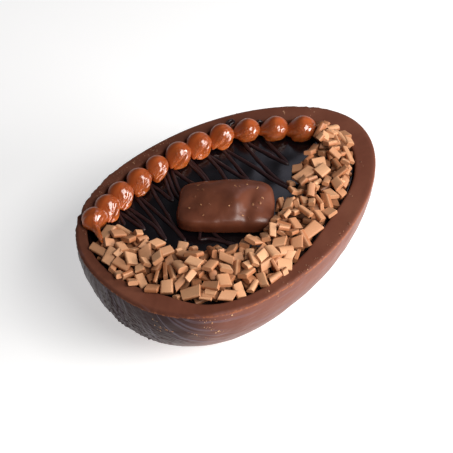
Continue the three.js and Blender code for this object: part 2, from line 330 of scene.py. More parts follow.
milkTones = {
    "rim": tint(100, 57, 43),
    "rimWarm": tint(111, 67, 51),
    "side": tint(117, 72, 58),
    "sideDark": tint(108, 65, 53),
    # end: painted shade, the deep purple brown that the side darkens to at the blunt end
    "end": tint(44, 24, 25),
    # crest: painted sheen, the pale bluish grey of light caught on the crests of the brush strokes
    "crest": tint(118, 108, 122),
    "scuff": tint(156, 94, 62),
    # pit: painted shade in the pits
    "pit": tint(46, 20, 17),
}


def milkFinish():
    finish = Finish("milkChocolate", {"Specular IOR Level": 0.5, "IOR": 1.19})
    outside = finish.attribute("outside")
    wear = finish.attribute("wear")
    blunt = finish.attribute("blunt")
    pits = finish.attribute("pits")
    strokes = finish.attribute("strokes", 1)
    fine = finish.noise(1.6, 3)
    cloudy = finish.band(finish.noise(22, 2), 0.3, 0.7)
    rimTone = finish.blend(cloudy, milkTones["rim"], milkTones["rimWarm"])
    brushed = finish.noise(2.4, 1, finish.stretch(strokes, (1.0, 0.06, 0.2)), 1.0)
    crest = finish.band(brushed, 0.54, 0.68)
    broad = finish.noise(9, 1, finish.stretch(strokes, (1.0, 0.1, 0.2)), 1.0)
    sideTone = finish.blend(finish.band(broad, 0.35, 0.65), milkTones["sideDark"], milkTones["side"])
    # Painted shade: the side darkens to a deep purple brown towards the blunt end.
    sideTone = finish.blend(finish.band(blunt, 0.48, 1.05), sideTone, milkTones["end"])
    # Painted sheen: the crests of the strokes are painted a pale bluish grey, more towards the blunt end.
    lit = crest * (0.13 + 0.22 * blunt)
    sideTone = finish.blend(lit, sideTone, milkTones["crest"])
    # Painted shade: the pits are painted dark as well as pressed in.
    sideTone = finish.blend(pits * 0.6, sideTone, milkTones["pit"])
    colour = finish.blend(outside, rimTone, sideTone)
    scrape = finish.band(finish.noise(1.5, 4, None, mm, 0.7) * 1.4 + wear * 0.8, 1.15, 1.45)
    colour = finish.blend(scrape * 0.7, colour, milkTones["scuff"])
    finish.feed("Base Color", finish.shade(colour, 0.92 + 0.16 * fine))
    finish.feed("Roughness", 0.48 - 0.12 * outside + 0.15 * scrape + 0.12 * (fine - 0.5))
    relief = outside * crest * (0.3 + 0.7 * blunt)
    first = finish.bump(relief, 0.12, 0.8)
    second = finish.bump(finish.noise(0.9, 3, None, mm, 0.6) * (0.25 + scrape), 0.05, 1.0, first)
    finish.feed("Normal", second)
    return finish


glazeTone = tint(10, 7, 10)
drizzleTones = {"dark": tint(36, 19, 20), "light": tint(47, 26, 26)}


def glazeFinish():
    finish = Finish("darkGlaze", {"Base Color": glazeTone, "Specular IOR Level": 0.45})
    finish.feed("Roughness", 0.14 + 0.1 * finish.noise(7, 2))
    finish.feed("Normal", finish.bump(finish.noise(9, 1), 0.2, 0.7))
    return finish


def drizzleFinish():
    finish = Finish("drizzleChocolate", {"Specular IOR Level": 0.5})
    finish.feed("Base Color", finish.blend(finish.noise(3, 2), drizzleTones["dark"], drizzleTones["light"]))
    finish.feed("Roughness", 0.28 + 0.1 * finish.noise(2, 2))
    finish.feed("Normal", finish.bump(finish.noise(1.2, 2), 0.08, 0.6))
    return finish


barTones = {
    "dark": tint(95, 51, 35),
    "light": tint(107, 60, 42),
    "low": tint(84, 38, 20),
    "dust": tint(134, 84, 62),
}


def barFinish():
    finish = Finish("barCoating", {"Specular IOR Level": 0.5})
    cloudy = finish.band(finish.noise(9, 2), 0.35, 0.65)
    tone = finish.blend(cloudy, barTones["dark"], barTones["light"])
    dust = finish.band(finish.noise(1.1, 4, None, mm, 0.7), 0.64, 0.74)
    # Darker and more orange towards the foot.
    tone = finish.blend(finish.attribute("low") * 0.85, tone, barTones["low"])
    dull = finish.attribute("dull")
    finish.feed("Base Color", finish.blend(dust * 0.5, tone, barTones["dust"]))
    finish.feed("Roughness", 0.29 + 0.12 * finish.noise(4, 2) + 0.2 * dust - 0.04 * dull)
    first = finish.bump(finish.noise(3.4, 2), 0.09, 0.7)
    finish.feed("Normal", finish.bump(finish.noise(0.7, 2), 0.03, 0.6, first))
    return finish


# Painted glow: thin is the lighter, more golden colour of light shining through thin caramel, thick the
# darker top.
caramelTones = {"thick": tint(166, 80, 37), "thin": tint(208, 104, 36)}


def caramelFinish():
    constants = {
        "IOR": 1.3,
        "Coat IOR": 1.7,
        "Subsurface Weight": 0.2,
        "Subsurface Radius": (1.0, 0.4, 0.15),
        "Subsurface Scale": 0.002,
        "Coat Roughness": 0.07,
    }
    finish = Finish("softCaramel", constants)
    thin = finish.attribute("thin")
    wet = finish.attribute("wet")
    # Painted glow: lighter and more golden at the foot and along the long tail, as if light shone through
    # the thin caramel.
    tone = finish.blend(thin, caramelTones["thick"], caramelTones["thin"])
    streak = finish.noise(0.85, 2, finish.attribute("pull", 1), 1.0, 0.6)
    grain = finish.noise(0.9, 3, None, mm, 0.75)
    finish.feed("Base Color", finish.shade(tone, 0.92 + 0.16 * streak))
    finish.feed("Roughness", 0.36 - 0.2 * wet)
    finish.feed("Coat Weight", 0.05 + 0.9 * wet)
    first = finish.bump(streak * wet, 0.18, 1.0)
    finish.feed("Normal", finish.bump(grain * wet, 0.8, 1.0, first))
    return finish


# side: darker, more orange colour of the flakes' sides, partly painted shade and partly the cut faces'
# deeper colour
flakeTones = {"dark": tint(170, 114, 78), "light": tint(216, 163, 122), "side": tint(160, 98, 60)}


def flakeFinish():
    finish = Finish("caramelFlake", {"Specular IOR Level": 0.4})
    tone = finish.attribute("tone")
    side = finish.attribute("side")
    grain = finish.noise(0.5, 4, None, mm, 0.7)
    base = finish.blend(finish.band(tone, 0, 1), flakeTones["dark"], flakeTones["light"])
    # The sides get painted shade as well as the cut faces' deeper orange.
    colour = finish.blend(side * 0.85, base, flakeTones["side"])
    deep = finish.band(tone, -1, 0)  # the flakes under the others get little light
    finish.feed("Base Color", finish.shade(colour, (0.86 + 0.28 * grain) * (0.35 + 0.65 * deep)))
    finish.feed("Roughness", 0.6 - 0.15 * side)
    finish.feed("Normal", finish.bump(grain, 0.08, 0.9))
    return finish


crumbTones = {
    "side": ("goldenCrumb", tint(140, 90, 60), tint(222, 178, 130)),
    "rim": ("paleCrumb", tint(116, 74, 54), tint(176, 130, 98)),
    "bar": ("coatingCrumb", tint(118, 68, 44), tint(216, 162, 112)),
}


def crumbFinish(name, dark, light):
    finish = Finish(name, {"Roughness": 0.6})
    finish.feed("Base Color", finish.blend(finish.attribute("tone"), dark, light))
    finish.feed("Normal", finish.bump(finish.noise(0.4, 2), 0.06, 0.8))
    return finish


egg = {
    "length": 155,
    "width": 105.7,
    "lean": 9.3,  # how far the widest place is shifted towards the blunt end
    "bluntPower": 2.27,
    "pointedPower": 1.95,
    "keel": -9.0,  # the lowest place of the round bottom
    "floor": 8,
    "around": 140,  # facets before they are cut four by four
    "along": 64,
}

rim = {
    "width": 5.5,
    "outerRound": 1.2,
    "innerRound": 0.9,
    "swells": [(4, 62, 6.2), (285, 21, 3.7), (201, 21, 5.2), (101, 15, 0.3), (133, 14, -0.9)],
    "waviness": 0.12,
}


def eggRadius(x):
    x = np.clip(x, -egg["length"] / 2, egg["length"] / 2)
    power = np.where(x < 0, egg["bluntPower"], egg["pointedPower"])
    end = np.maximum(0, 1 - np.abs(2 * x / egg["length"]) ** power)
    lean = egg["length"] ** 2 + 8 * egg["lean"] * x + 4 * egg["lean"] ** 2
    return egg["width"] / 2 * end ** (1 / power) * egg["length"] / np.sqrt(lean)


hollowDepth = float(eggRadius(np.array(egg["keel"]))) - egg["floor"]


# Angles are in radians from the pointed end.
def outlinePoint(angle):
    c = np.cos(angle)
    power = np.where(c < 0, egg["bluntPower"], egg["pointedPower"])
    x = egg["length"] / 2 * np.sign(c) * np.abs(c) ** (2 / power)
    return np.stack([x, np.sign(np.sin(angle)) * eggRadius(x)], axis=-1)


def insetPoint(angle, inset):
    along = outlinePoint(angle + 0.05) - outlinePoint(angle - 0.05)
    along /= np.linalg.norm(along, axis=-1, keepdims=True)
    outwards = np.stack([along[..., 1], -along[..., 0]], axis=-1)
    return outlinePoint(angle) - outwards * np.asarray(inset)[..., None]


def innerEdge(angle, extra=0.0):
    width = np.full(np.shape(angle), float(rim["width"]))
    for at, spread, by in rim["swells"]:
        turn = np.degrees(angle) - at
        away = turn - 360 * np.round(turn / 360)
        width += by * np.exp(-((away / spread) ** 2))
    return insetPoint(angle, width + extra)


def hollowPoint(angle, share, clearance=0.0):
    keel = np.array([egg["keel"], 0.0])
    plan = (innerEdge(angle, clearance) - keel) * np.asarray(share)[..., None] + keel
    drop = (hollowDepth - clearance) * np.sqrt(np.maximum(0, 1 - np.asarray(share) ** 2))
    height = np.broadcast_to(rimHeight - rim["innerRound"] - drop, np.shape(angle))
    return np.column_stack([plan, height])


shellSkin = {
    "ridgeDepth": 0.3,
    "ridgeGap": 4.4,
    "girth": 40,  # millimetres across the strokes for a radian round the egg
    "turnFrom": 34,  # where the egg is slimmer than this, the brush strokes turn down over its end
    "turnPower": 1.3,
    # The same share also paints shade and sheen on the side towards the blunt end.
    "bluntEnd": (-30, -74),  # from where to where along the egg the strokes get deep
    # Seed, size and depth of the unevenness: everywhere, everywhere and finer, and at the blunt end.
    "lumps": (7, 13.0, 0.14),
    "grain": (8, 2.4, 0.04),
    "endGrain": (18, 2.2, 0.36),
    "pitDepth": 0.8,
    # Where the end is grained and pitted: the angle's middle and spread, and from where to where along.
    "grained": (-10, 45, -56, -68),
    "pitted": (-10, 22, -70, -74),
    "scuffed": (-72, -40, 45, 5),  # where the rim's front edge is most worn, along the egg
    "scuffDepth": (1.5, 1.2),  # how far under the rim the wear ends and is full
    # Where the rim's outer edge is ragged, in degrees from the pointed end: middle, spread, depth.
    "ragged": [(132, 26, 0.42), (252, 30, 0.16), (200, 20, 0.12), (17, 8, 0.25)],
}


# The rim's profile from the outer side over the top and down the hollow.
def rimLoops():
    outer = rim["outerRound"]
    inner = rim["innerRound"]
    loops = []
    for a in np.radians([22.5, 45, 67.5, 90]):
        loops.append(("outer", outer * (1 - math.cos(a)), rimHeight - outer * (1 - math.sin(a))))
    for share in (0.15, 0.32, 0.5, 0.68, 0.85):
        loops.append(("flat", share, rimHeight))
    for a in np.radians([0, 22.5, 45, 67.5, 90]):
        loops.append(("inner", inner * (1 - math.sin(a)), rimHeight - inner * (1 - math.cos(a))))
    for share in (0.997, 0.985, 0.95, 0.88, 0.75, 0.55, 0.3, 0.0):
        loops.append(("hollow", share, 0))
    return loops


def loopPoints(kind, value, height, angle):
    if kind == "outer":
        return np.column_stack([insetPoint(angle, value), np.full(len(angle), height)])
    if kind == "inner":
        return np.column_stack([innerEdge(angle, -value), np.full(len(angle), height)])
    if kind == "flat":
        start = insetPoint(angle, rim["outerRound"])
        end = innerEdge(angle, -rim["innerRound"])
        return np.column_stack([start + (end - start) * value, np.full(len(angle), height)])
    return hollowPoint(angle, value)


def makeShell():
    shell = addSphere("eggShell", egg["around"], egg["along"], sideways=True)
    bpy.ops.object.mode_set(mode="EDIT")
    bpy.ops.mesh.select_all(action="SELECT")
    bpy.ops.mesh.bisect(plane_co=(0, 0, 0), plane_no=(0, 0, 1), clear_outer=True)
    bpy.ops.mesh.select_all(action="SELECT")
    bpy.ops.mesh.subdivide(number_cuts=3)
    loops = rimLoops()
    leaveEditing()
    unit = readPoints(shell)
    skinCount = len(unit)
    onCut = np.abs(unit[:, 2]) < 1e-4
    edgeCount = int(onCut.sum())
    selectPoints(shell, onCut)
    for _ in loops:
        bpy.ops.mesh.extrude_region_move(TRANSFORM_OT_translate={"value": (0, 0, 0)})
    bpy.ops.mesh.merge(type="COLLAPSE")
    leaveEditing()
    unit = readPoints(shell)
    points = np.empty_like(unit)
    skin = unit[:skinCount]
    turn = np.arctan2(np.hypot(skin[:, 1], skin[:, 2]), skin[:, 0])
    x = outlinePoint(turn)[:, 0]
    radius = eggRadius(x)
    down = np.arctan2(skin[:, 1], -skin[:, 2])  # the angle round the long axis, 0 straight down
    widest = egg["width"] / 2
    reach = (widest - rim["outerRound"]) / widest
    edge = np.hypot(skin[:, 1], skin[:, 2]) < 1e-5
    down[edge] = 0
    drop = radius * np.cos(down) * reach
    points[:skinCount, 0] = x
    points[:skinCount, 1] = radius * np.sin(down)
    points[:skinCount, 2] = np.maximum(0, rimHeight - rim["outerRound"] - drop)
    outside = np.zeros(len(unit))
    outside[:skinCount] = 1
    wear = np.zeros(len(unit))
    left, leftFull, right, rightFull = shellSkin["scuffed"]
    front = smoothStep(left, leftFull, x) * smoothStep(right, rightFull, x) * (points[:skinCount, 1] < 0)
    deep, full = shellSkin["scuffDepth"]
    worn = smoothStep(rimHeight - deep - deep * front, rimHeight - full, points[:skinCount, 2])
    wear[:skinCount] = worn * (0.62 + 0.23 * front)
    for k, (kind, value, height) in enumerate(loops):
        first = skinCount + k * edgeCount
        block = slice(first, min(first + edgeCount, len(unit)))
        angle = np.arctan2(unit[block, 1], unit[block, 0])
        if kind == "hollow" and value == 0:
            points[block] = hollowPoint(np.zeros(1), 0.0)
            continue
        points[block] = loopPoints(kind, value, height, angle)
        if kind == "outer":
            outside[block] = 0.3
            wear[block] = max(0, 0.85 - 1.2 * value)
    writePoints(shell, points * mm)
    normals = readNormals(shell)
    fields = roughenShell(points, normals, skinCount, down, x)
    writePoints(shell, points * mm)
    fields.update({"outside": outside, "wear": wear})
    for name, values in fields.items():
        writeAttribute(shell, name, values)
    smoothFaces(shell)
    return shell


# A share that is 1 in one place of the blunt end and fades round it.
def endShare(named, down, x):
    middle, spread, start, full = named
    return hump(np.degrees(down), middle, spread) * smoothStep(start, full, x)


# Brush strokes, lumps and pits on the outer side, and a slightly uneven rim. Returns what the
# finish needs to know at each vertex.
def roughenShell(points, normals, skinCount, down, x):
    skin = points[:skinCount]
    share = np.maximum(eggRadius(x), 1) / shellSkin["turnFrom"]
    across = down * shellSkin["girth"] * (share**-8 + 1) ** (-shellSkin["turnPower"] / 8)
    strokes = np.zeros((len(points), 3))
    strokes[:skinCount] = np.column_stack([across, x, down * 8])
    strokes[skinCount:] = points[skinCount:]
    blunt = smoothStep(*shellSkin["bluntEnd"], points[:, 0])
    wander = ripples((6, 11.0, 1.2), skin)
    plane = np.column_stack([(across + wander) / shellSkin["ridgeGap"], x / 60, down * 0.25])
    ridges = smoothStep(0.0, 1.0, rippleField(5, 1.0)(plane))
    below = rimHeight - rim["outerRound"] - skin[:, 2]
    free = smoothStep(0.1, 2.5, below) * smoothStep(0.0, 1.5, skin[:, 2])
    move = (ridges - 0.3) * shellSkin["ridgeDepth"] * (0.15 + 0.85 * blunt[:skinCount])
    move += ripples(shellSkin["lumps"], skin) + ripples(shellSkin["grain"], skin)
    move += ripples(shellSkin["endGrain"], skin) * endShare(shellSkin["grained"], down, x)
    pits = np.zeros(len(points))
    pitted = endShare(shellSkin["pitted"], down, x)
    pits[:skinCount] = smoothStep(0.75, 1.05, rippleField(9, 2.6, 40)(skin)) * pitted
    move -= pits[:skinCount] * shellSkin["pitDepth"]
    points[:skinCount] += normals[:skinCount] * (move * free)[:, None]
    top = points[skinCount:]
    isTop = smoothStep(rimHeight - 0.6, rimHeight - 0.1, top[:, 2])
    uneven = rippleField(12, 16.0)(top) + 0.35 * rippleField(13, 4.0)(top)
    top[:, 2] -= isTop * rim["waviness"] * (0.8 - uneven)
    raggedEdge(points)
    return {"strokes": strokes, "blunt": blunt, "pits": pits}


# Draws the rim's outer edge in and out a little where it broke when it was levelled.
def raggedEdge(points):
    keel = np.array([egg["keel"], 0])

    # Seen from above from over the keel: which way a point lies, in degrees, and how far.
    def seenFromKeel(plan):
        away = plan - keel
        return np.degrees(np.arctan2(away[:, 1], away[:, 0])) % 360, np.hypot(away[:, 0], away[:, 1])

    direction, radius = seenFromKeel(points[:, :2])
    depth = sum(by * hump(direction, at, spread) for at, spread, by in shellSkin["ragged"])
    rimTurn, rimRadius = seenFromKeel(outlinePoint(np.linspace(0, 2 * math.pi, 721)))
    order = np.argsort(rimTurn)
    inside = np.interp(direction, rimTurn[order], rimRadius[order]) - radius
    near = smoothStep(3.0, 0.6, inside) * smoothStep(rimHeight - 2.8, rimHeight - 1.0, points[:, 2])
    flat = points * [1, 1, 0]
    jag = rippleField(14, 3.2)(flat) - 0.5 * np.abs(rippleField(16, 6.0)(flat))
    points[:, :2] += (points[:, :2] - keel) / radius.clip(1)[:, None] * (near * depth * jag)[:, None]
    points[:, 2] += near * depth * ripples((17, 2.6, 0.5), points * [1, 1, 0])


pool = {
    "around": 256,
    "over": 88,
    "wave": (21, 15.0, 0.12),  # seed, size and depth
    "creep": (0.5, 26),  # how high it creeps up the shell, and how suddenly
}

drizzleLine = {
    "thickness": 1.7,
    "uneven": (31, 7.0, 0.14),  # seed, size and share of the thickness
    "tip": 0.55,  # its ends' share of the thickness
    "lift": 0.12,  # its middle over the glaze
    "sway": (32, 11.0, 0.1),
    "squash": 0.9,
    "step": 0.8,
    "routes": [
        [
            (41, 25), (38.7, 19), (36.6, 10), (34.9, 2.6), (34.2, 2.2), (33.4, 8), (31.8, 20), (31.2, 27.5),
            (29.8, 25), (26.2, 12), (23.7, -2), (24.6, -11.5), (23.6, -11), (22.1, -2), (22, 10),
            (20.9, 24), (20.3, 31.5), (17.2, 20), (14, 8), (13.2, 6), (13, 9), (12.5, 18), (11.8, 32),
            (9.5, 22), (6.5, 14), (4.4, 10), (0, 17), (1.2, 22), (3.8, 35), (2.2, 34), (0.5, 24), (-2, 17),
            (-5.4, 20), (-6.4, 28), (-6.3, 36), (-7.6, 35), (-12, 27), (-15.5, 20), (-17, 20.5),
            (-15.6, 25), (-13.6, 29), (-9.6, 37), (-12, 36), (-17, 27), (-19.6, 21.6), (-20.3, 22.5),
            (-20, 30), (-20.3, 37), (-21.6, 34), (-25, 25), (-28, 16), (-31, 8), (-32.9, 0), (-33.4, -0.6),
            (-32.8, 2.5), (-31.6, 8), (-30.4, 20), (-29.6, 34), (-31.2, 32), (-34, 20), (-36.5, 12),
            (-38.7, 6), (-39.3, 5.6), (-38.6, 9), (-37, 16), (-38, 33), (-39.4, 32), (-39.7, 24),
            (-41.2, 17.6), (-42, 16.6), (-42, 19), (-42.3, 32), (-43.6, 31), (-45.8, 25),
        ],
        [(-24, -1), (-27.6, -4.2), (-28, -5.2), (-26.6, -6.2), (-24, -9), (-18, -21)],
        [(-19, -2), (-21, -6), (-21.4, -12), (-20.6, -20)],
    ],
    # Turns of the line that lie on the rim behind the drops.
    "turnsOnRim": [
        [(30.2, 37.4), (31.6, 39), (33.6, 39.6), (35, 38.6), (34.4, 37.4), (32.8, 37.9), (31.6, 37.2)],
        [(41.8, 28.6), (42.8, 29.6), (44, 29.2), (44.4, 28)],
    ],
}


def makePool():
    thing = addSphere("glazePool", pool["around"], pool["over"])
    unit = readPoints(thing)
    angle = np.arctan2(unit[:, 1], unit[:, 0])
    out = np.hypot(unit[:, 0], unit[:, 1])
    levelShare = math.sqrt(1 - ((rimHeight - glazeHeight - rim["innerRound"]) / hollowDepth) ** 2)
    isTop = unit[:, 2] > -1e-6
    share = np.where(isTop, np.arccos(np.clip(unit[:, 2], -1, 1)) / (math.pi / 2), out) * levelShare
    points = hollowPoint(angle, share, gap)
    points[~isTop, 2] = np.minimum(points[~isTop, 2], glazeHeight)
    high, sudden = pool["creep"]
    surface = glazeHeight + ripples(pool["wave"], points * [1, 1, 0])
    surface += high * np.exp((share / levelShare - 1) * sudden)
    points[isTop, 2] = surface[isTop]
    writePoints(thing, points * mm)
    smoothFaces(thing)
    return thing


def makeDrizzle():
    deselectAll()
    bpy.ops.curve.primitive_nurbs_path_add()
    thing = bpy.context.object
    thing.name = "drizzleLines"
    curve = thing.data
    curve.splines.clear()
    for knots in drizzleLine["routes"] + drizzleLine["turnsOnRim"]:
        route = smoothRoute(knots, drizzleLine["step"])
        spline = curve.splines.new("POLY")
        spline.points.add(len(route) - 1)
        flat = np.column_stack([route, np.zeros(len(route))])
        thick = 1 + ripples(drizzleLine["uneven"], flat)
        thick[[0, -1]] = drizzleLine["tip"]
        height = glazeHeight + drizzleLine["lift"] + ripples(drizzleLine["sway"], flat)
        if knots in drizzleLine["turnsOnRim"]:
            height += (rimHeight - glazeHeight + 0.1) * np.sin(np.linspace(0.5, 2.64, len(route))) ** 0.5
        for point, (px, py), pz, size in zip(spline.points, route, height, thick):
            point.co = (px * mm, py * mm, pz * mm, 1)
            point.radius = size
    curve.dimensions = "3D"
    curve.bevel_depth = drizzleLine["thickness"] / 2 * mm
    curve.bevel_resolution = 3
    curve.use_fill_caps = True
    bpy.ops.object.convert(target="MESH")
    thing = bpy.context.object
    points = readPoints(thing)
    middle = (glazeHeight + drizzleLine["lift"]) * mm
    low = points[:, 2] < (glazeHeight + 1.2) * mm
    points[low, 2] = middle + (points[low, 2] - middle) * drizzleLine["squash"]
    writePoints(thing, points)
    applyPlace(thing)
    smoothFaces(thing)
    return thing


drop = {
    "width": 11.9,
    "height": 9.9,
    "bulge": 0.55,
    "middle": 0.45,
    "shift": (0.4, 0.4),
    "collar": 0.6,  # how far the foot spreads over the glaze, millimetres
    "tail": 0.5,
    "droop": 0.22,
    "taper": (0.34, 0.5),  # across and in height
    "crown": 0.17,  # how much slimmer it is towards its top
    "longTail": {"slim": 0.63, "rise": 0.2, "sway": 1.1},
    "foldLine": (0.42, 0.2, 0.07),  # how far down its fold runs, rises to the tail and wavers
    "foldSpread": 0.13,
    "wrinkles": (17, 0.14),  # how many and how deep
    "swell": 0.09,  # how far the lobe under the fold stands out
    "lumps": (60, 0.55, 0.02),  # seed of the first drop, size and depth as shares of the drop
    "grain": (90, 0.3, 0.008),
    "around": 96,
    "over": 66,
}
# Each drop's middle, the way its tail points, its size, its tail, how deep its fold is, and the
# way that its lower lobe looks from the drop's middle: along the tail, across it and up.
drops = [
    {"at": (-56, 33.2), "tailTo": 241, "size": 0.98, "tail": 2.1, "fold": 0.05, "lobe": (0.45, 0.75, -0.3)},
    {"at": (-46.6, 35.4), "tailTo": 236, "size": 0.96, "fold": 0.1, "lobe": (0.5, 0.66, -0.45)},
    {"at": (-36.9, 37.4), "tailTo": 232, "size": 0.98, "fold": 0.1, "lobe": (0.5, 0.62, -0.5)},
    {"at": (-24.9, 38.3), "tailTo": 222, "size": 0.97, "fold": 0.12, "lobe": (0.5, 0.55, -0.55)},
    {"at": (-13, 39.2), "tailTo": 226, "size": 0.89, "fold": 0.08, "lobe": (0.6, 0.4, -0.55)},
    {"at": (-0.2, 38.5), "tailTo": 206, "size": 1, "fold": 0.15, "lobe": (0.4, 0.7, -0.5)},
    {"at": (11.3, 36.8), "tailTo": 212, "size": 1, "fold": 0.13, "collar": 1.3, "lobe": (0.35, 0.72, -0.5)},
    {"at": (23, 33.6), "tailTo": 196, "size": 0.97, "fold": 0.13, "lobe": (0.25, 0.8, -0.45)},
    {
        "at": (34.4, 27.8), "tailTo": 148, "size": 0.97, "fold": 0.05, "collar": 0.4,
        "lobe": (-0.05, 0.72, -0.62),
    },
    {
        "at": (44.5, 19.5), "tailTo": 140, "size": 1.03, "fold": 0.05, "collar": 0.4,
        "lobe": (-0.05, 0.75, -0.62),
    },
    {
        "at": (53.7, 10.4), "tailTo": 138, "size": 1.08, "fold": 0.04, "collar": 0.4,
        "lobe": (-0.15, 0.78, -0.6),
    },
]


def makeDrop(index, item):
    thing = addSphere(f"caramelDrop{index + 1:02d}", drop["around"], drop["over"])
    unit = readPoints(thing)
    radius = drop["width"] * item["size"] / 2
    tail = item.get("tail", drop["tail"])
    isLong = tail > 1
    along = np.maximum(0, unit[:, 0]) ** 2
    if isLong:
        narrow = 1 - drop["longTail"]["slim"] * smoothStep(0.06, 0.5, along)
        flatten = narrow
        low = -drop["longTail"]["rise"] * along
    else:
        narrow = 1 - drop["taper"][0] * smoothStep(0.1, 1, along) + 0.14 * hump(along, 0.55, 0.3)
        flatten = 1 - drop["taper"][1] * smoothStep(0.1, 1, along)
        low = drop["droop"] * along
    lobe = np.array(item["lobe"]) / np.linalg.norm(item["lobe"])
    start = np.array([1.0, 0, 0]) - lobe * lobe[0]
    start /= np.linalg.norm(start)
    facing = unit @ lobe
    onTail = unit @ start  # 1 at the tail's end of the fold
    ripple = rippleField(40 + index, 0.9)(unit)
    depth, rise, waver = drop["foldLine"]
    line = depth + rise * onTail + waver * ripple
    opened = smoothStep(-0.35, 0.5, onTail)
    lower = smoothStep(0.1, 0.55, facing)
    fold = item["fold"] * hump(facing, line, drop["foldSpread"]) * opened
    often, deep = drop["wrinkles"]
    wrinkles = np.sin((facing - line) * often + 2.2 * ripple) * lower * opened
    swell = drop["swell"] * smoothStep(0.0, 0.3, facing - line) * opened
    seed, size, by = drop["lumps"]
    lumps = ripples((seed + index, size, by), unit) * smoothStep(0.5, -0.3, unit[:, 2])
    seed, size, by = drop["grain"]
    lumps += ripples((seed + index, size, by), unit) * smoothStep(-0.3, 0.2, facing)
    crown = 1 - drop["crown"] * np.maximum(0, unit[:, 2]) ** 2
    grow = 1 - fold + swell + deep * item["fold"] * wrinkles + lumps
    half = drop["height"] * drop["bulge"] * item["size"]
    points = np.column_stack(
        [
            unit[:, 0] * (1 + tail * along) * radius * grow * crown,
            unit[:, 1] * narrow * radius * grow * crown,
            unit[:, 2] * flatten * half * grow + drop["height"] * (drop["middle"] - low),
        ]
    )
    if isLong:
        bow = np.sin(math.pi * smoothStep(0.1, 1, unit[:, 0])) * (unit[:, 0] > 0.1)
        points[:, 1] -= drop["longTail"]["sway"] * bow
    rings = hump(points[:, 2], 0.9, 1.0) - 0.5 * hump(points[:, 2], 3.0, 1.0)
    spread = drop["collar"] * item.get("collar", 1) * (1 + 0.35 * rippleField(80 + index, 0.8)(unit))
    flat = np.hypot(points[:, 0], points[:, 1]).clip(0.5)
    points[:, :2] *= (1 + spread * rings * (0 if isLong else 1) / flat)[:, None]
    points[:, 2] = np.maximum(points[:, 2], -0.35)
    height = points[:, 2] / drop["height"]
    plan = turnPlan(points[:, :2], math.radians(item["tailTo"])) + item["at"] + drop["shift"]
    writePoints(thing, np.column_stack([plan, points[:, 2] + glazeHeight]) * mm)
    # Painted glow: the share that the finish paints lighter and more golden, at the foot and along a long
    # tail.
    thin = smoothStep(0.75, 0.05, height) * 0.8 + 0.9 * smoothStep(0.3, 0.9, along) * isLong
    writeAttribute(thing, "thin", np.clip(thin, 0, 1))
    writeAttribute(thing, "wet", smoothStep(-0.4, 0.1, facing))
    pull = [onTail * 2.6, facing * 6.5, unit[:, 1] * 2.5 + index * 7]
    writeAttribute(thing, "pull", np.column_stack(pull))
    smoothFaces(thing)
    return thing


bar = {
    "at": (-8.4, -1.5),
    "turn": -44.3,
    "length": 43.5,
    "width": 24.6,
    "height": 11.6,
    "planPower": 5.2,
    "topPower": {"back": 4.4, "front": 2.15},
    "footPower": 9,
    "waist": 0.3,  # where its sides are upright, as a share of its height
    "swell": 0.9,  # how far its sides bulge out over its foot
    "shave": (36, 23, 0.05),  # the slimmer corner: its angle, spread and share
    "hollow": (10.6, 3.0, 0.15),  # a hollow round the bar: place along it, spread and share
    "hollowSlant": 0.17,
    "mound": (4.8, -3.8, 5, 1.6),  # a swelling on top: place along and across, spread and height
    # How far the top sinks towards the front and the left, and from where to where.
    "frontSink": (0.9, 6, -5),
    "leftSink": (1.0, 2, -18),
    "crossRound": 0.07,
    "bow": (0.5, 4.0),
    "lumps": (51, 9.0, 0.12),  # seed, size and depth
    "grain": (52, 2.6, 0.03),
    "slack": 1.5,  # how far the highest place may be over the height
    "cuts": 44,
}


def squircle(a, b, power):
    size = np.maximum(np.abs(a), np.abs(b))
    turn = np.arctan2(b, a)
    reach = (np.abs(np.cos(turn)) ** power + np.abs(np.sin(turn)) ** power) ** (-1 / power)
    return size * reach * np.cos(turn), size * reach * np.sin(turn)


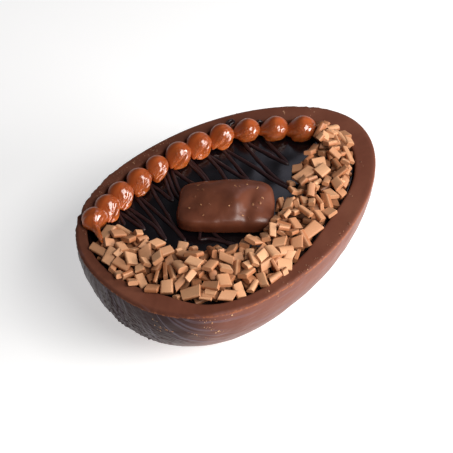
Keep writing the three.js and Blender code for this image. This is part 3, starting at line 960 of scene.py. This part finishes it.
def makeBar():
    deselectAll()
    bpy.ops.mesh.primitive_cube_add(size=2)
    thing = bpy.context.object
    thing.name = "coatedBar"
    bpy.ops.object.mode_set(mode="EDIT")
    bpy.ops.mesh.select_all(action="SELECT")
    bpy.ops.mesh.subdivide(number_cuts=bar["cuts"])
    leaveEditing()
    unit = readPoints(thing)
    a, b = squircle(unit[:, 0], unit[:, 1], bar["planPower"])
    size = np.maximum(np.abs(unit[:, 0]), np.abs(unit[:, 1]))
    up = unit[:, 2]
    back, front = bar["topPower"]["back"], bar["topPower"]["front"]
    topPower = front + (back - front) * smoothStep(-0.5, 0.9, unit[:, 1])
    topPower = topPower - (topPower - 2.2) * 0.8 * smoothStep(0.1, -0.8, unit[:, 0])  # rounder at the left
    power = np.where(up > 0, topPower, bar["footPower"])
    side, rise = squircle(np.maximum(size, 1e-6), up, power)
    a = a / np.maximum(size, 1e-6) * side
    b = b / np.maximum(size, 1e-6) * side
    at, spread, by = bar["shave"]
    shaved = 1 - by * hump(np.degrees(np.arctan2(b, a)), at, spread)
    x = a * shaved * bar["length"] / 2
    y = b * shaved * (bar["width"] / 2 + bar["swell"])
    z = bar["waist"] + np.where(rise > 0, 1 - bar["waist"], bar["waist"]) * rise
    at, spread, by = bar["hollow"]
    pinch = by * hump(x - bar["hollowSlant"] * y, at, spread)
    pinch = pinch * (0.15 + 0.85 * smoothStep(8, -6, y))  # the hollow runs out towards the back
    y *= 1 - pinch * 0.5 * smoothStep(0.1, 0.6, z)
    z *= 1 - pinch * smoothStep(0.25, 0.9, z)
    z *= 1 - bar["crossRound"] * (y / bar["width"] * 2) ** 2 * smoothStep(0.6, 1, z)
    by, over = bar["bow"]
    x += by * np.sin(y / over)
    points = np.column_stack([x, y, z * bar["height"]])
    alongMound, acrossMound, spread, high = bar["mound"]
    upper = smoothStep(0.5, 0.9, z)
    points[:, 2] += high * hump(np.hypot(x - alongMound, y - acrossMound), 0, spread) * upper
    for place, (by, start, full) in ((y, bar["frontSink"]), (x, bar["leftSink"])):
        points[:, 2] -= upper * by * smoothStep(start, full, place)
    points += unit * (ripples(bar["lumps"], points) + ripples(bar["grain"], points))[:, None]
    points[:, 2] = np.clip(points[:, 2], 0, bar["height"] + bar["slack"])
    writeAttribute(thing, "dull", smoothStep(2.5, -3, x))
    # low: 1 at the foot, 0 from three quarters of the height up; the finish makes it darker and more orange.
    writeAttribute(thing, "low", smoothStep(0.75, 0.1, z))
    plan = turnPlan(points[:, :2], math.radians(bar["turn"])) + bar["at"]
    writePoints(thing, np.column_stack([plan, points[:, 2] + glazeHeight + gap]) * mm)
    smoothFaces(thing)
    return thing


bank = {
    "from": 156,
    "to": 377,
    "innerSide": [
        (-50, 24), (-44, 6.5), (-39, -3), (-32, -11), (-23, -18), (-11, -24.5), (7, -16), (24, -12),
        (34, -3.5), (47, -0.5), (61, 9),
    ],
}

heap = {
    "seed": 4,
    "grid": 0.25,
    # The base shapes: length, width and thickness, and how round the upper and lower edges are.
    "shapes": {
        "slab": {"size": (6.0, 4.4, 2.1), "rounds": (0.75, 0.6)},
        "log": {"size": (6.0, 3.2, 2.7), "rounds": (1.25, 0.45)},
        "slice": {"size": (5.0, 3.6, 1.5), "rounds": (0.5, 0.45)},
    },
    "endRound": 0.13,
    # How much the flakes differ: askew, end cuts, bent, wider at one end, and each vertex.
    "uneven": {"skew": 0.22, "ends": 0.16, "bend": 0.012, "flare": 0.018, "grain": 0.045},
    "steepest": 0.62,
    "follow": 0.8,  # how far a flake takes the slope of what it lies on
    "sink": 0.2,
    "restsOn": 95,  # the share of the ground under a flake, in percent, that lies lower than it
    "fewestUnder": 12,  # grid places that a flake needs under it
    "mostBlocked": 0.2,  # the share of them that something else may take up
    "ceiling": (1.7, 0.5, 2),  # height over the rim, how much more per millimetre inwards, from where
    "underThickness": (1.9, 2.3),
    "topThickness": (1.8, 2.3),
    # A tone below 0 paints shade on the flakes under the others.
    "underTone": (-1, 0.2),
    "topTone": (0.25, 1),
    "logHeight": (2.0, 2.9),
    "edge": {"thin": 1.9, "thickness": (1.5, 2.3), "width": (3.4, 4.6), "roll": (62, 88), "sink": 1.7},
    "away": {"direction": 45.7, "steep": (0.45, 0.7), "sink": 0.9},
    "stacked": {"thickness": 1.2, "sink": 0.1},
    # The flakes under the top ones: least distance between two, and from the bank's sides.
    "layers": [
        {"spacing": 4.5, "byRim": 3.4, "byGlaze": 3.9, "tries": 1500},
        {"spacing": 5.4, "byRim": 5.4, "byGlaze": 5.6, "tries": 900},
    ],
    "underLength": (4.2, 6.2),
    "underWidth": (3.2, 4.6),
    "closer": (0.66, 0.8, 2.2),  # from and to where along the bank they lie closer to the rim, and by what
}

# The flakes that lie on top: x, y, turn, length, width, by how they lie.
topFlakes = {
    "flat": [
        (-45.9, -20.6, 60, 6.5, 5), (-55.8, -7.6, 20, 5, 4), (58.5, -2.8, 60, 5, 4), (49, -12, 60, 5, 4),
        (19.2, -23.7, 60, 5, 3.4), (-3, -31.5, 20, 5, 4), (11.9, -16.2, 60, 5, 3),
        (-22.6, -26.2, 45, 4, 3.4), (-10.2, -42.4, 20, 5, 4), (65.2, -5.5, 80, 5, 4), (63, -10.2, 60, 5, 4),
        (41, -27.5, 20, 5, 4), (46, -23.5, 30, 5, 4), (36, -30.5, 10, 5, 4), (50.5, -19.2, 40, 5, 4),
        (-58.4, 21.9, 15, 7.5, 5), (-66.5, 17.7, 98, 9.5, 4), (-61.9, 16.4, -30, 4.5, 4),
        (-56.6, 16.7, -25, 5.5, 4), (-66, 11.4, 20, 8, 5), (-59.8, 10.8, 75, 5.5, 5),
        (-63.3, 9.2, 0, 3.5, 3), (-48.8, 12, -10, 4, 3.2), (-69.1, 6.1, 35, 4.5, 3),
        (-65.7, 4.2, 100, 7.5, 4), (-61.3, 2.8, 60, 6, 5.5), (-55.2, 7.2, 5, 6, 3),
        (-50.8, 6.1, 10, 5, 3.5), (-54.7, 1.1, 55, 7, 6), (-46.3, 3.6, 5, 6.5, 4.5),
        (-64.7, -7.2, 72, 6.5, 4), (-61.3, -2.8, -30, 4, 3.5), (-58.8, -3.3, 80, 4, 3),
        (-54.1, -6.1, 55, 5.5, 5), (-48.3, -5.3, -10, 6, 4.5), (-50, -9.2, 0, 4, 4),
        (-64.7, -14.4, -50, 5.5, 5), (-60.2, -18.6, 45, 6, 5.5), (-42.7, -11.1, 92, 6.5, 4),
        (-37.7, -3.9, 35, 6, 4.5), (-41.6, -6.1, 0, 3.5, 2.8), (-42.2, -16.7, 0, 5.5, 5.5),
        (-45.8, -20.3, 110, 6.5, 4.5), (-55.2, -21.4, 0, 6, 3.2), (-50.8, -23.1, 10, 5.5, 3.2),
        (-55.2, -28.1, -42, 8.5, 5.5), (-41.6, -25.8, 20, 7, 4.5), (-47.4, -32.2, 113, 8, 4),
        (-36.9, -30, 60, 6, 5.5), (-41.9, -34.4, 60, 6, 6), (-44.9, -39.7, -45, 6.5, 5),
        (-38.8, -40.6, 65, 7, 4.5), (-31, -20.5, 65, 5, 3), (-25.4, -22.4, 28, 7, 4.5),
        (-27, -27.6, -20, 4.5, 4), (-18.9, -24, 35, 5.5, 4.5), (-15.2, -24, -70, 4, 3.5),
        (-16.6, -27.6, -10, 6.5, 5), (-22.3, -30.1, 40, 5, 4), (-11, -28.4, 52, 7.5, 3.8),
        (-5.4, -26.3, 0, 5, 4.5), (-31.2, -37.2, 12, 7, 4.8), (-27.5, -34.7, 0, 4.5, 4),
        (-24.5, -34.7, 62, 6.5, 3.5), (-20.4, -35.7, 10, 6, 4.5), (-27.7, -43.4, 60, 7.5, 4),
        (-14.8, -44, -42, 6.5, 5.5), (-2.3, -39.3, 45, 5.5, 5.5), (-8.1, -34.3, -35, 6, 5),
        (-1, -35.1, 5, 5.5, 4), (-7.3, -29.3, 45, 6, 3.2), (-2.7, -31.8, -30, 5, 3),
        (4.8, -31.3, 75, 6, 4.5), (8.3, -38.2, 2, 9, 5.5), (60.8, 5.2, 72, 5.5, 4), (47.9, -1.6, 12, 7, 4),
        (50.9, -3.2, 0, 3.5, 3), (61.2, -2.1, 10, 8, 4), (34, -5.2, -45, 5, 4.5), (31.8, -11.3, -12, 10, 5),
        (42.3, -4.9, 0, 4, 3), (40.9, -11.6, -20, 6.5, 5), (37.9, -16.6, 0, 6, 6), (30.7, -16, -10, 5, 3),
        (26.8, -15.4, 0, 4, 3.5), (52.3, -11, 0, 4.5, 3), (49.3, -13.8, 105, 6, 3.5),
        (55.4, -16.6, 62, 10, 3.2), (12.3, -20.4, 30, 6.5, 4.5), (35.1, -22.1, 30, 7, 3.2),
        (27.3, -21.3, 110, 4.5, 4), (23.4, -23.2, 40, 6, 3.5), (42.9, -23.2, -15, 8, 3.2),
        (37.1, -26.8, 70, 5.5, 4.5), (40.9, -26.8, 0, 3, 2.8), (31.2, -28.2, 75, 6.5, 5),
        (19.3, -27.7, 40, 5, 3.2), (12.3, -30.4, 92, 7, 3.4), (16.8, -34.9, 75, 5.5, 4),
        (22.9, -35.4, 80, 5.5, 5),
    ],
    "log": [
        (-50.9, 19.7, 97, 7.5, 3.2), (-49.1, 9.2, -10, 5, 2.6), (-50.5, -16.7, 72, 6.5, 5),
        (-15.2, -37.2, 80, 6.5, 4.5), (-22.7, -46.1, 0, 6.5, 3), (-32.9, -43.2, 20, 6.5, 2.8),
        (-9.8, -39.7, -17, 7.5, 4.8), (64.3, 1.8, -21, 6, 3.5), (62.3, -7.6, 75, 9, 3.6),
        (49.6, -21, 75, 6, 3), (31.2, -19.9, 0, 4.5, 2.4), (-35.5, -8.6, 0, 2.8, 2.6),
        (4.6, -26.3, 10, 4.5, 2.4),
    ],
    "edge": [
        (-54, 19.7, 80, 5, 2.3), (-67.4, -0.8, -5, 5, 1.6), (-59.7, -11.1, 33, 5.5, 1.6),
        (-55.5, -12.2, 50, 8, 2), (-53.8, -15.3, 58, 8.5, 2.2), (-29.5, -14.5, -10, 7, 2.4),
        (-33.3, -18.2, 65, 8, 2.8), (-32, -25.9, -65, 6.5, 2.6), (-17.7, -32, 0, 6, 2),
        (-32, -32, 43, 8, 2.4), (-21.8, -39.3, -5, 6, 2), (-18.9, -41.8, 82, 6, 1.6),
        (-23.1, -43.4, 0, 3.5, 1.8), (-17.7, -47, 0, 3, 2), (-0.2, -29, -60, 6, 2.3),
        (4.2, -18.8, 48, 6, 1.8), (2.1, -39.3, 78, 8, 2.4), (-6.8, -43.8, 30, 6, 1.8),
        (56.5, 2.1, 18, 8, 2.6), (54.3, -2.7, 35, 6, 2.4), (36.2, -8.8, 0, 3.5, 2.4),
        (39.6, -6.6, 12, 6, 2), (58.2, -6.8, 60, 6, 2.4), (46.5, -17.7, 70, 6, 2.4),
        (15.9, -17.6, 70, 4, 2), (18.6, -17.2, 70, 4, 2), (10.9, -14.9, 40, 6, 1.8),
        (15.7, -22.1, 40, 5, 2.4), (41.8, -20.2, 10, 4.5, 1.8), (26.8, -29.9, 62, 7, 2.4),
        (22.6, -29.3, 70, 6, 1.8), (15.9, -31.6, 50, 6, 2),
    ],
    "away": [
        (-54.1, 12.2, 5, 5.5, 5), (-48.6, 14.4, 0, 3.5, 3), (-69.7, 1.4, 70, 4.5, 4),
        (-45.2, -1.1, -30, 7, 5), (-68.3, -5.6, 60, 5.5, 4.5), (-38.3, -10.8, 80, 5, 4),
        (-59.4, -24.2, 0, 3.2, 3), (-28.1, -18.8, -60, 5, 3), (0.7, -23.8, 25, 6.5, 3.5),
        (5.7, -23.4, 25, 6, 4), (25.4, -9.1, 70, 4, 3), (48.2, -7.9, 0, 4, 3.5), (53.4, -6.6, 0, 5.5, 5),
        (52.9, -14.9, 0, 4, 3), (21.2, -17.9, 0, 4, 3), (9.6, -27.1, 0, 5, 3.5),
        (-47.7, -13.1, -15, 4.5, 2.8),
    ],
}
# Three slices lying one on another against the rim.
stackedFlakes = [(-52.2, -34.4, 124, 5.2, 3.2), (-50.9, -34.3, 130, 5, 3.2), (-49.6, -34.2, 122, 4.8, 3.2)]


def bankPoint(along, across):
    knots = smoothRoute(bank["innerSide"], 1.0)
    place = np.clip(along, 0, 1) * (len(knots) - 1)
    first = np.minimum(place.astype(int), len(knots) - 2)
    inner = knots[first] + (knots[first + 1] - knots[first]) * (place - first)[:, None]
    outer = innerEdge(np.radians(bank["from"] + (bank["to"] - bank["from"]) * along), gap)
    return outer + (inner - outer) * across[:, None]


# Which of the points lie inside a closed outline.
def isInside(points, outline):
    found = np.zeros(len(points), dtype=bool)
    x, y = points[:, 0], points[:, 1]
    for (ax, ay), (bx, by) in zip(outline, np.roll(outline, -1, axis=0)):
        if ay == by:
            continue
        crosses = ((ay > y) != (by > y)) & (x < (bx - ax) * (y - ay) / (by - ay) + ax)
        found ^= crosses
    return found


# The heights of everything that flakes can lie on, as a grid seen from above.
class Ground:
    def __init__(self):
        step = heap["grid"]
        self.columns = np.arange(-78, 78, step)
        self.rows = np.arange(-54, 54, step)
        xs, ys = np.meshgrid(self.columns, self.rows)
        flat = np.column_stack([xs.ravel(), ys.ravel()])
        angles = np.linspace(0, 2 * math.pi, 180, endpoint=False)
        clear = 0.2
        inside = isInside(flat, innerEdge(angles, clear))
        self.height = np.where(inside, glazeHeight, rimHeight).reshape(xs.shape)
        local = turnPlan(flat - bar["at"], -math.radians(bar["turn"]))
        a = np.abs(local[:, 0]) / (bar["length"] / 2 + clear)
        b = np.abs(local[:, 1]) / (bar["width"] / 2 + clear)
        taken = a ** bar["planPower"] + b ** bar["planPower"] < 1
        for item in drops:
            away = np.hypot(flat[:, 0] - item["at"][0], flat[:, 1] - item["at"][1])
            taken |= away < drop["width"] * item["size"] / 2 + clear / 2
        self.taken = taken.reshape(xs.shape)
        self.edge = innerEdge(angles, 0.0)

    # How high a flake's top may reach: little at the rim, more further in.
    def ceiling(self, x, y):
        away = np.hypot(self.edge[:, 0] - x, self.edge[:, 1] - y).min()
        low, rise, start = heap["ceiling"]
        return rimHeight + low + rise * max(0, away - start)

    # Lays a flake down and returns how it lies: its middle's height and its slopes along and across.
    def lay(self, x, y, turn, length, width, thickness, sink, lean=None, isTop=False):
        step = heap["grid"]
        reach = math.hypot(length, width) / 2 + step
        i0, i1 = np.searchsorted(self.columns, [x - reach, x + reach])
        j0, j1 = np.searchsorted(self.rows, [y - reach, y + reach])
        xs, ys = np.meshgrid(self.columns[i0:i1] - x, self.rows[j0:j1] - y)
        c, s = math.cos(turn), math.sin(turn)
        u = xs * c + ys * s
        v = ys * c - xs * s
        under = (np.abs(u) < length / 2) & (np.abs(v) < width / 2)
        blocked = under & self.taken[j0:j1, i0:i1]
        if under.sum() < heap["fewestUnder"] or blocked.sum() > heap["mostBlocked"] * under.sum():
            return None
        free = under & ~blocked
        heights = self.height[j0:j1, i0:i1][free]
        if lean is None:
            sheet = np.column_stack([np.ones(free.sum()), u[free], v[free]])
            slopes = np.linalg.lstsq(sheet, heights, rcond=None)[0][1:] * heap["follow"]
            steep = np.hypot(*slopes)
            slopes = slopes * min(1, heap["steepest"] / max(steep, 1e-6))
        else:
            slopes = np.array(lean)
        over = heights - slopes[0] * u[free] - slopes[1] * v[free]
        level = np.percentile(over, heap["restsOn"]) - sink
        if isTop:
            level = min(level, self.ceiling(x, y) - thickness)
        surface = level + slopes[0] * u + slopes[1] * v + thickness
        window = self.height[j0:j1, i0:i1]
        window[under] = np.maximum(window, surface)[under]
        return level, slopes


# A slab or log with rounded long edges and crisp cut ends, lying along X round the origin.
def flakeBase(kind):
    length, width, thickness = heap["shapes"][kind]["size"]
    deselectAll()
    bpy.ops.mesh.primitive_cube_add(size=1, scale=(length * mm, width * mm, thickness * mm))
    thing = bpy.context.object
    thing.name = kind + "Base"
    applyPlace(thing)
    outer = thickness * 0.45
    for facing, segments, radius in zip((1, -1), (3, 2), heap["shapes"][kind]["rounds"]):
        selectEdges(thing, lambda a, b: abs(a.x - b.x) > length * 0.9 and a.z * facing > outer)
        bpy.ops.mesh.bevel(offset=radius * mm, segments=segments, affect="EDGES", profile=0.5)
        leaveEditing()
    selectEdges(thing, lambda a, b: abs(a.x - b.x) < 0.01 and abs(a.x) > length * 0.49)
    bpy.ops.mesh.bevel(offset=heap["endRound"] * mm, segments=1, affect="EDGES")
    bpy.ops.mesh.select_all(action="SELECT")
    bpy.ops.mesh.normals_make_consistent(inside=False)
    leaveEditing()
    smoothFaces(thing, 38)
    normals = np.array([face.normal for face in thing.data.polygons])
    # side: 1 on faces that don't face up, less towards the top, 0.65 on the cut ends; the finish paints them
    # darker and more orange, partly as shade.
    side = np.where(np.abs(normals[:, 0]) > 0.9, 0.65, 1 - np.clip(normals[:, 2], 0, 1) ** 0.7)
    writeAttribute(thing, "side", side, "FACE")
    return thing


# One flake, bent and cut askew, laid where the ground carries it.
def shapeFlake(bases, kind, number, x, y, z, turn, slopes, size, roll, tone, draw):
    thing = copyPiece(bases[kind], f"flake{number:03d}")
    points = readPoints(thing) / mm
    length, width, thickness = size
    baseLength, baseWidth, baseThickness = heap["shapes"][kind]["size"]
    points[:, 0] += np.sign(points[:, 0]) * (length - baseLength) / 2
    points[:, 1] *= width / baseWidth
    points[:, 2] *= thickness / baseThickness
    uneven = heap["uneven"]
    skew = draw.normal(0, uneven["skew"])
    ends = draw.normal(0, uneven["ends"], 2)
    points[:, 0] += points[:, 1] * (skew + np.where(points[:, 0] > 0, ends[0], ends[1]))
    bend = draw.normal(0, uneven["bend"])
    points[:, 2] += bend * (points[:, 0] ** 2 - length**2 / 12)
    points[:, 1] *= 1 + draw.normal(0, uneven["flare"]) * points[:, 0]
    points += draw.normal(0, uneven["grain"], points.shape)
    if roll:
        points[:, 1:] = turnPlan(points[:, 1:], roll)
    ex = np.array([1, 0, slopes[0]])
    ex /= np.linalg.norm(ex)
    up = np.array([-slopes[0], -slopes[1], 1])
    up /= np.linalg.norm(up)
    ey = np.cross(up, ex)
    points = points[:, :1] * ex + points[:, 1:2] * ey + points[:, 2:] * up
    plan = turnPlan(points[:, :2], turn) + (x, y)
    writePoints(thing, np.column_stack([plan, points[:, 2] + z]) * mm)
    writeAttribute(thing, "tone", np.full(len(thing.data.polygons), tone), "FACE")
    return thing


def makeFlakes():
    draw = np.random.default_rng(heap["seed"])
    bases = {kind: flakeBase(kind) for kind in heap["shapes"]}
    ground = Ground()
    made = []

    def addFlake(x, y, turn, length, width, thickness, how="flat", sink=heap["sink"], isTop=False):
        turn = math.radians(turn)
        kind = "slab"
        roll = 0
        lean = None
        across, high = width, thickness
        if how == "log":
            kind = "log"
            least, most = heap["logHeight"]
            high = max(least, min(most, width * 0.8))
            thickness = high
        if how == "edge":
            edge = heap["edge"]
            kind = "slice" if width < edge["thin"] else "slab"
            least, most = edge["thickness"]
            thickness = max(least, min(width, most))
            width = draw.uniform(*edge["width"])
            high = width
            roll = math.radians(draw.choice([-1, 1]) * draw.uniform(*edge["roll"]))
            sink = edge["sink"]
        if how == "level":
            lean = (0.0, 0.0)
        if how == "away":
            away = heap["away"]
            back = math.radians(away["direction"]) - turn
            steep = draw.uniform(*away["steep"])
            lean = (-steep * math.cos(back), -steep * math.sin(back))
            sink = away["sink"]
        found = ground.lay(x, y, turn, length, across, high, sink, lean, isTop)
        if found is None:
            return
        level, slopes = found
        size = (length, width, thickness)
        z = level + high / 2 * math.sqrt(1 + slopes[0] ** 2 + slopes[1] ** 2)
        tone = draw.uniform(*heap["topTone" if isTop else "underTone"])
        made.append(shapeFlake(bases, kind, len(made), x, y, z, turn, slopes, size, roll, tone, draw))

    for layer in heap["layers"]:
        alongs = draw.uniform(0, 1, layer["tries"])
        acrosses = draw.uniform(0, 1, layer["tries"])
        breadth = np.linalg.norm(bankPoint(alongs, np.zeros(1)) - bankPoint(alongs, np.ones(1)), axis=1)
        first, last, by = heap["closer"]
        start = np.minimum(0.45, (layer["byRim"] - by * smoothStep(first, last, alongs)) / breadth)
        end = 1 - np.minimum(0.5, layer["byGlaze"] / breadth)
        places = bankPoint(alongs, start + (end - start) * acrosses)
        kept = []
        for px, py in places:
            if any((px - qx) ** 2 + (py - qy) ** 2 < layer["spacing"] ** 2 for qx, qy in kept):
                continue
            kept.append((px, py))
            length, width = draw.uniform(*heap["underLength"]), draw.uniform(*heap["underWidth"])
            turn, thickness = draw.uniform(0, 180), draw.uniform(*heap["underThickness"])
            addFlake(px, py, turn, length, width, thickness)
    print("flakes in the lower layers:", len(made))
    for how in ("away", "edge", "log", "flat"):
        for x, y, turn, length, width in topFlakes[how]:
            addFlake(x, y, turn, length, width, draw.uniform(*heap["topThickness"]), how, isTop=True)
    for x, y, turn, length, width in stackedFlakes:
        stacked = heap["stacked"]
        addFlake(x, y, turn, length, width, stacked["thickness"], "level", stacked["sink"], True)
    for base in bases.values():
        removePiece(base)
    print("flakes in all:", len(made))
    return joinPieces(made, "flakeHeap")


# Places of crumbs as x and y, or on the outer side as x and the angle round the long axis. Each
# place gets a few crumbs within its spread.
crumbs = {
    "shape": {
        "uneven": 0.25,
        "stretch": (0.5, 1.7),
        "press": 0.45,  # how much flatter it is against the piece under it
        "lift": 0.15,
        "above": 70,  # the lines that find its place start clear of the egg
        "beside": 80,
    },
    "side": {
        "seed": 72, "size": (0.13, 0.3), "each": 3, "spread": 0.9,
        "spots": [
            (-72.2, -80), (-71.5, -71), (-70.8, -69.7), (-70.2, -73), (-69.3, -69.8), (-70.9, -64.5),
            (-68.1, -70.6), (-62.8, -74), (-61.6, -71.5), (-60.5, -70.4), (-60, -88.5), (-58.9, -87.4),
            (-57.6, -88.1), (-56.8, -86), (-58.6, -80.3), (-57.3, -81.1), (-55.7, -78.6), (-53.9, -75.7),
            (-52, -73.7), (-53, -75.4), (-56.5, -67.4), (-50.4, -88.5), (-19.7, -88.5), (-26.9, -88.5),
        ],
    },
    "rim": {
        "seed": 71, "size": (0.13, 0.32), "each": 5, "spread": 1.2,
        "spots": [
            (-6.4, 51), (-3.3, 51), (-0.7, 50.4), (2.9, 50.6), (-4.5, 48.7), (-40.4, 48), (-30.9, 48.2),
            (-44.5, 45), (-37, 46.8), (-24.1, 49), (-14.7, 49.2), (-21.6, 48.4), (5, 50), (57.4, 25.8),
            (40.3, 41.5), (67.6, 18.6), (64.4, 15.9), (-49, 43), (-53, 40.2), (-57, 37.4), (-27, 49.6),
            (-18, 50.2), (-60, 34.6), (-10, 50.4), (-34, 48.6), (-46, 45.2), (-51, 41.2), (-38, 48),
            (-42, 46), (-63, 31), (-7.2, -51.2), (-12, -51.4), (-22, -50.4), (-1, -50.8), (8, -49.6),
            (16, -48.6), (24, -46.6), (-30, -49.6), (38.5, -34.1), (56.3, -24.7),
        ],
    },
    "bar": {
        "seed": 73, "size": (0.16, 0.48), "each": 2, "spread": 0.7,
        "spots": [
            (-17.7, 8.9), (-11.8, 13.3), (-12.9, 8.7), (-23.5, 6.7), (-16.7, 0.9), (-11.7, -6.6),
            (5.5, -7.5), (-0.8, -16.5), (-8.5, -15.5), (-9.7, -12), (0.5, -14.2), (-2.7, -12.5), (3.2, -3),
            (-19, 4), (3, -12.6), (-14, 11), (-1.6, -0.6), (-0.4, -2), (-22, -1),
        ],
    },
}


# Where a straight line first meets a piece, and the way that its surface faces there.
def meet(thing, start, way):
    found, place, normal, _ = thing.ray_cast(Vector(start) * mm, Vector(way))
    return (np.array(place) / mm, np.array(normal)) if found else None


# Small broken grains round the named places, each pressed flat against the piece under it.
def makeCrumbs(kind, thing):
    settings = crumbs[kind]
    shape = crumbs["shape"]
    far = shape["beside"]
    draw = np.random.default_rng(settings["seed"])
    deselectAll()
    bpy.ops.mesh.primitive_ico_sphere_add(subdivisions=1, radius=1)
    base = bpy.context.object
    made = []
    for spot in settings["spots"]:
        for i in range(settings["each"]):
            px, py = np.array(spot) + draw.normal(0, settings["spread"], 2) * (i > 0)
            way = (0, 0, -1)
            start = (px, py, shape["above"])
            if kind == "side":
                turn = math.radians(py)
                way = (0, -math.sin(turn), math.cos(turn))
                start = (px, math.sin(turn) * far, rimHeight - rim["outerRound"] - math.cos(turn) * far)
            found = meet(thing, start, way)
            if not found:
                continue
            place, normal = found
            grain = copyPiece(base, f"{kind}Crumb{len(made):03d}")
            size = draw.uniform(*settings["size"])
            uneven = draw.normal(0, shape["uneven"], (len(grain.data.vertices), 1))
            points = readPoints(grain) * (1 + uneven)
            points *= size * draw.uniform(*shape["stretch"], 3)
            turned = np.array(Matrix.Rotation(draw.uniform(0, 6.28), 3, Vector(draw.normal(size=3))))
            points = points @ turned
            points -= shape["press"] * (points @ normal)[:, None] * normal
            writePoints(grain, (points + place + normal * size * shape["lift"]) * mm)
            writeAttribute(grain, "tone", np.full(len(grain.data.polygons), draw.uniform(0, 1) ** 2), "FACE")
            made.append(grain)
    removePiece(base)
    return joinPieces(made, kind + "Crumbs")


# Each lamp's way from the egg, its distance, size, power and colour, and which way its long side runs.
lamps = {
    "key": {
        "azimuth": 268, "rise": 50, "far": 0.8, "size": (0.5, 0.3),
        "power": 4.9, "colour": (1, 0.98, 0.95), "along": (0.87, -0.21, 0.45),
    },
    "right": {
        "azimuth": 300, "rise": 17, "far": 0.58, "size": (0.32, 0.24),
        "power": 4.3, "colour": (1, 0.97, 0.95),
    },
    "left": {
        "azimuth": 150, "rise": 14, "far": 0.9, "size": (0.5, 0.25),
        "power": 0.08, "colour": (0.8, 0.9, 1),
    },
    "back": {
        "azimuth": 26, "rise": 45, "far": 1.0, "size": (0.4, 0.3),
        "power": 0.45, "colour": (0.86, 0.84, 1),
    },
}
roomLight = {"colour": (0.9, 0.94, 1.0, 1), "strength": 0.06}
floorGlow = {"base": 0.7, "strength": 0.52}


def addLamps():
    aim = Vector(cameraSet["aim"])
    for name, lamp in lamps.items():
        turn, rise = math.radians(lamp["azimuth"]), math.radians(lamp["rise"])
        way = Vector((math.cos(turn) * math.cos(rise), math.sin(turn) * math.cos(rise), math.sin(rise)))
        deselectAll()
        bpy.ops.object.light_add(type="AREA", location=aim + way * lamp["far"])
        thing = bpy.context.object
        thing.name = name + "Lamp"
        across = Vector(lamp.get("along", (-math.sin(turn), math.cos(turn), 0)))
        across = (across - across.dot(way) * way).normalized()
        thing.rotation_euler = Matrix((across, way.cross(across), way)).transposed().to_euler()
        thing.data.shape = "RECTANGLE"
        thing.data.size, thing.data.size_y = lamp["size"]
        thing.data.energy = lamp["power"]
        thing.data.color = lamp["colour"]
    world = bpy.data.worlds.new("room")
    world.use_nodes = True
    backdrop = world.node_tree.nodes["Background"]
    backdrop.inputs["Color"].default_value = roomLight["colour"]
    backdrop.inputs["Strength"].default_value = roomLight["strength"]
    bpy.context.scene.world = world
    bpy.context.scene.view_settings.view_transform = "Standard"


def addFloor():
    deselectAll()
    bpy.ops.mesh.primitive_plane_add(size=4)
    thing = bpy.context.object
    thing.name = "floor"
    base = floorGlow["base"]
    constants = {
        "Base Color": (base, base, base, 1),
        "Roughness": 0.8,
        "Emission Color": (1, 1, 1, 1),
        "Emission Strength": floorGlow["strength"],
    }
    finish = Finish("paleFloor", constants)
    thing.data.materials.append(finish.material)


addCamera()
addLamps()
addFloor()
print("camera, lamps and floor")

shell = makeShell()
finishPiece(shell, milkFinish(), ["shell"])
print("shell")

finishPiece(makePool(), glazeFinish(), ["filling"])
finishPiece(makeDrizzle(), drizzleFinish(), ["filling"])
print("glaze and drizzle")

caramel = caramelFinish()
for index, item in enumerate(drops):
    finishPiece(makeDrop(index, item), caramel, [f"dollop_{index + 1:02d}"])
print("drops")

coatedBar = makeBar()
finishPiece(coatedBar, barFinish(), ["bonbon"])
print("bar")

finishPiece(makeFlakes(), flakeFinish(), ["flakes"])
print("flakes")

bpy.context.view_layer.update()
for kind, thing, slotName in (
    ("side", shell, "caramel_flakes"),
    ("rim", shell, "milk_chocolate"),
    ("bar", coatedBar, "caramel_flakes"),
):
    finishPiece(makeCrumbs(kind, thing), crumbFinish(*crumbTones[kind]), [])
print("crumbs")
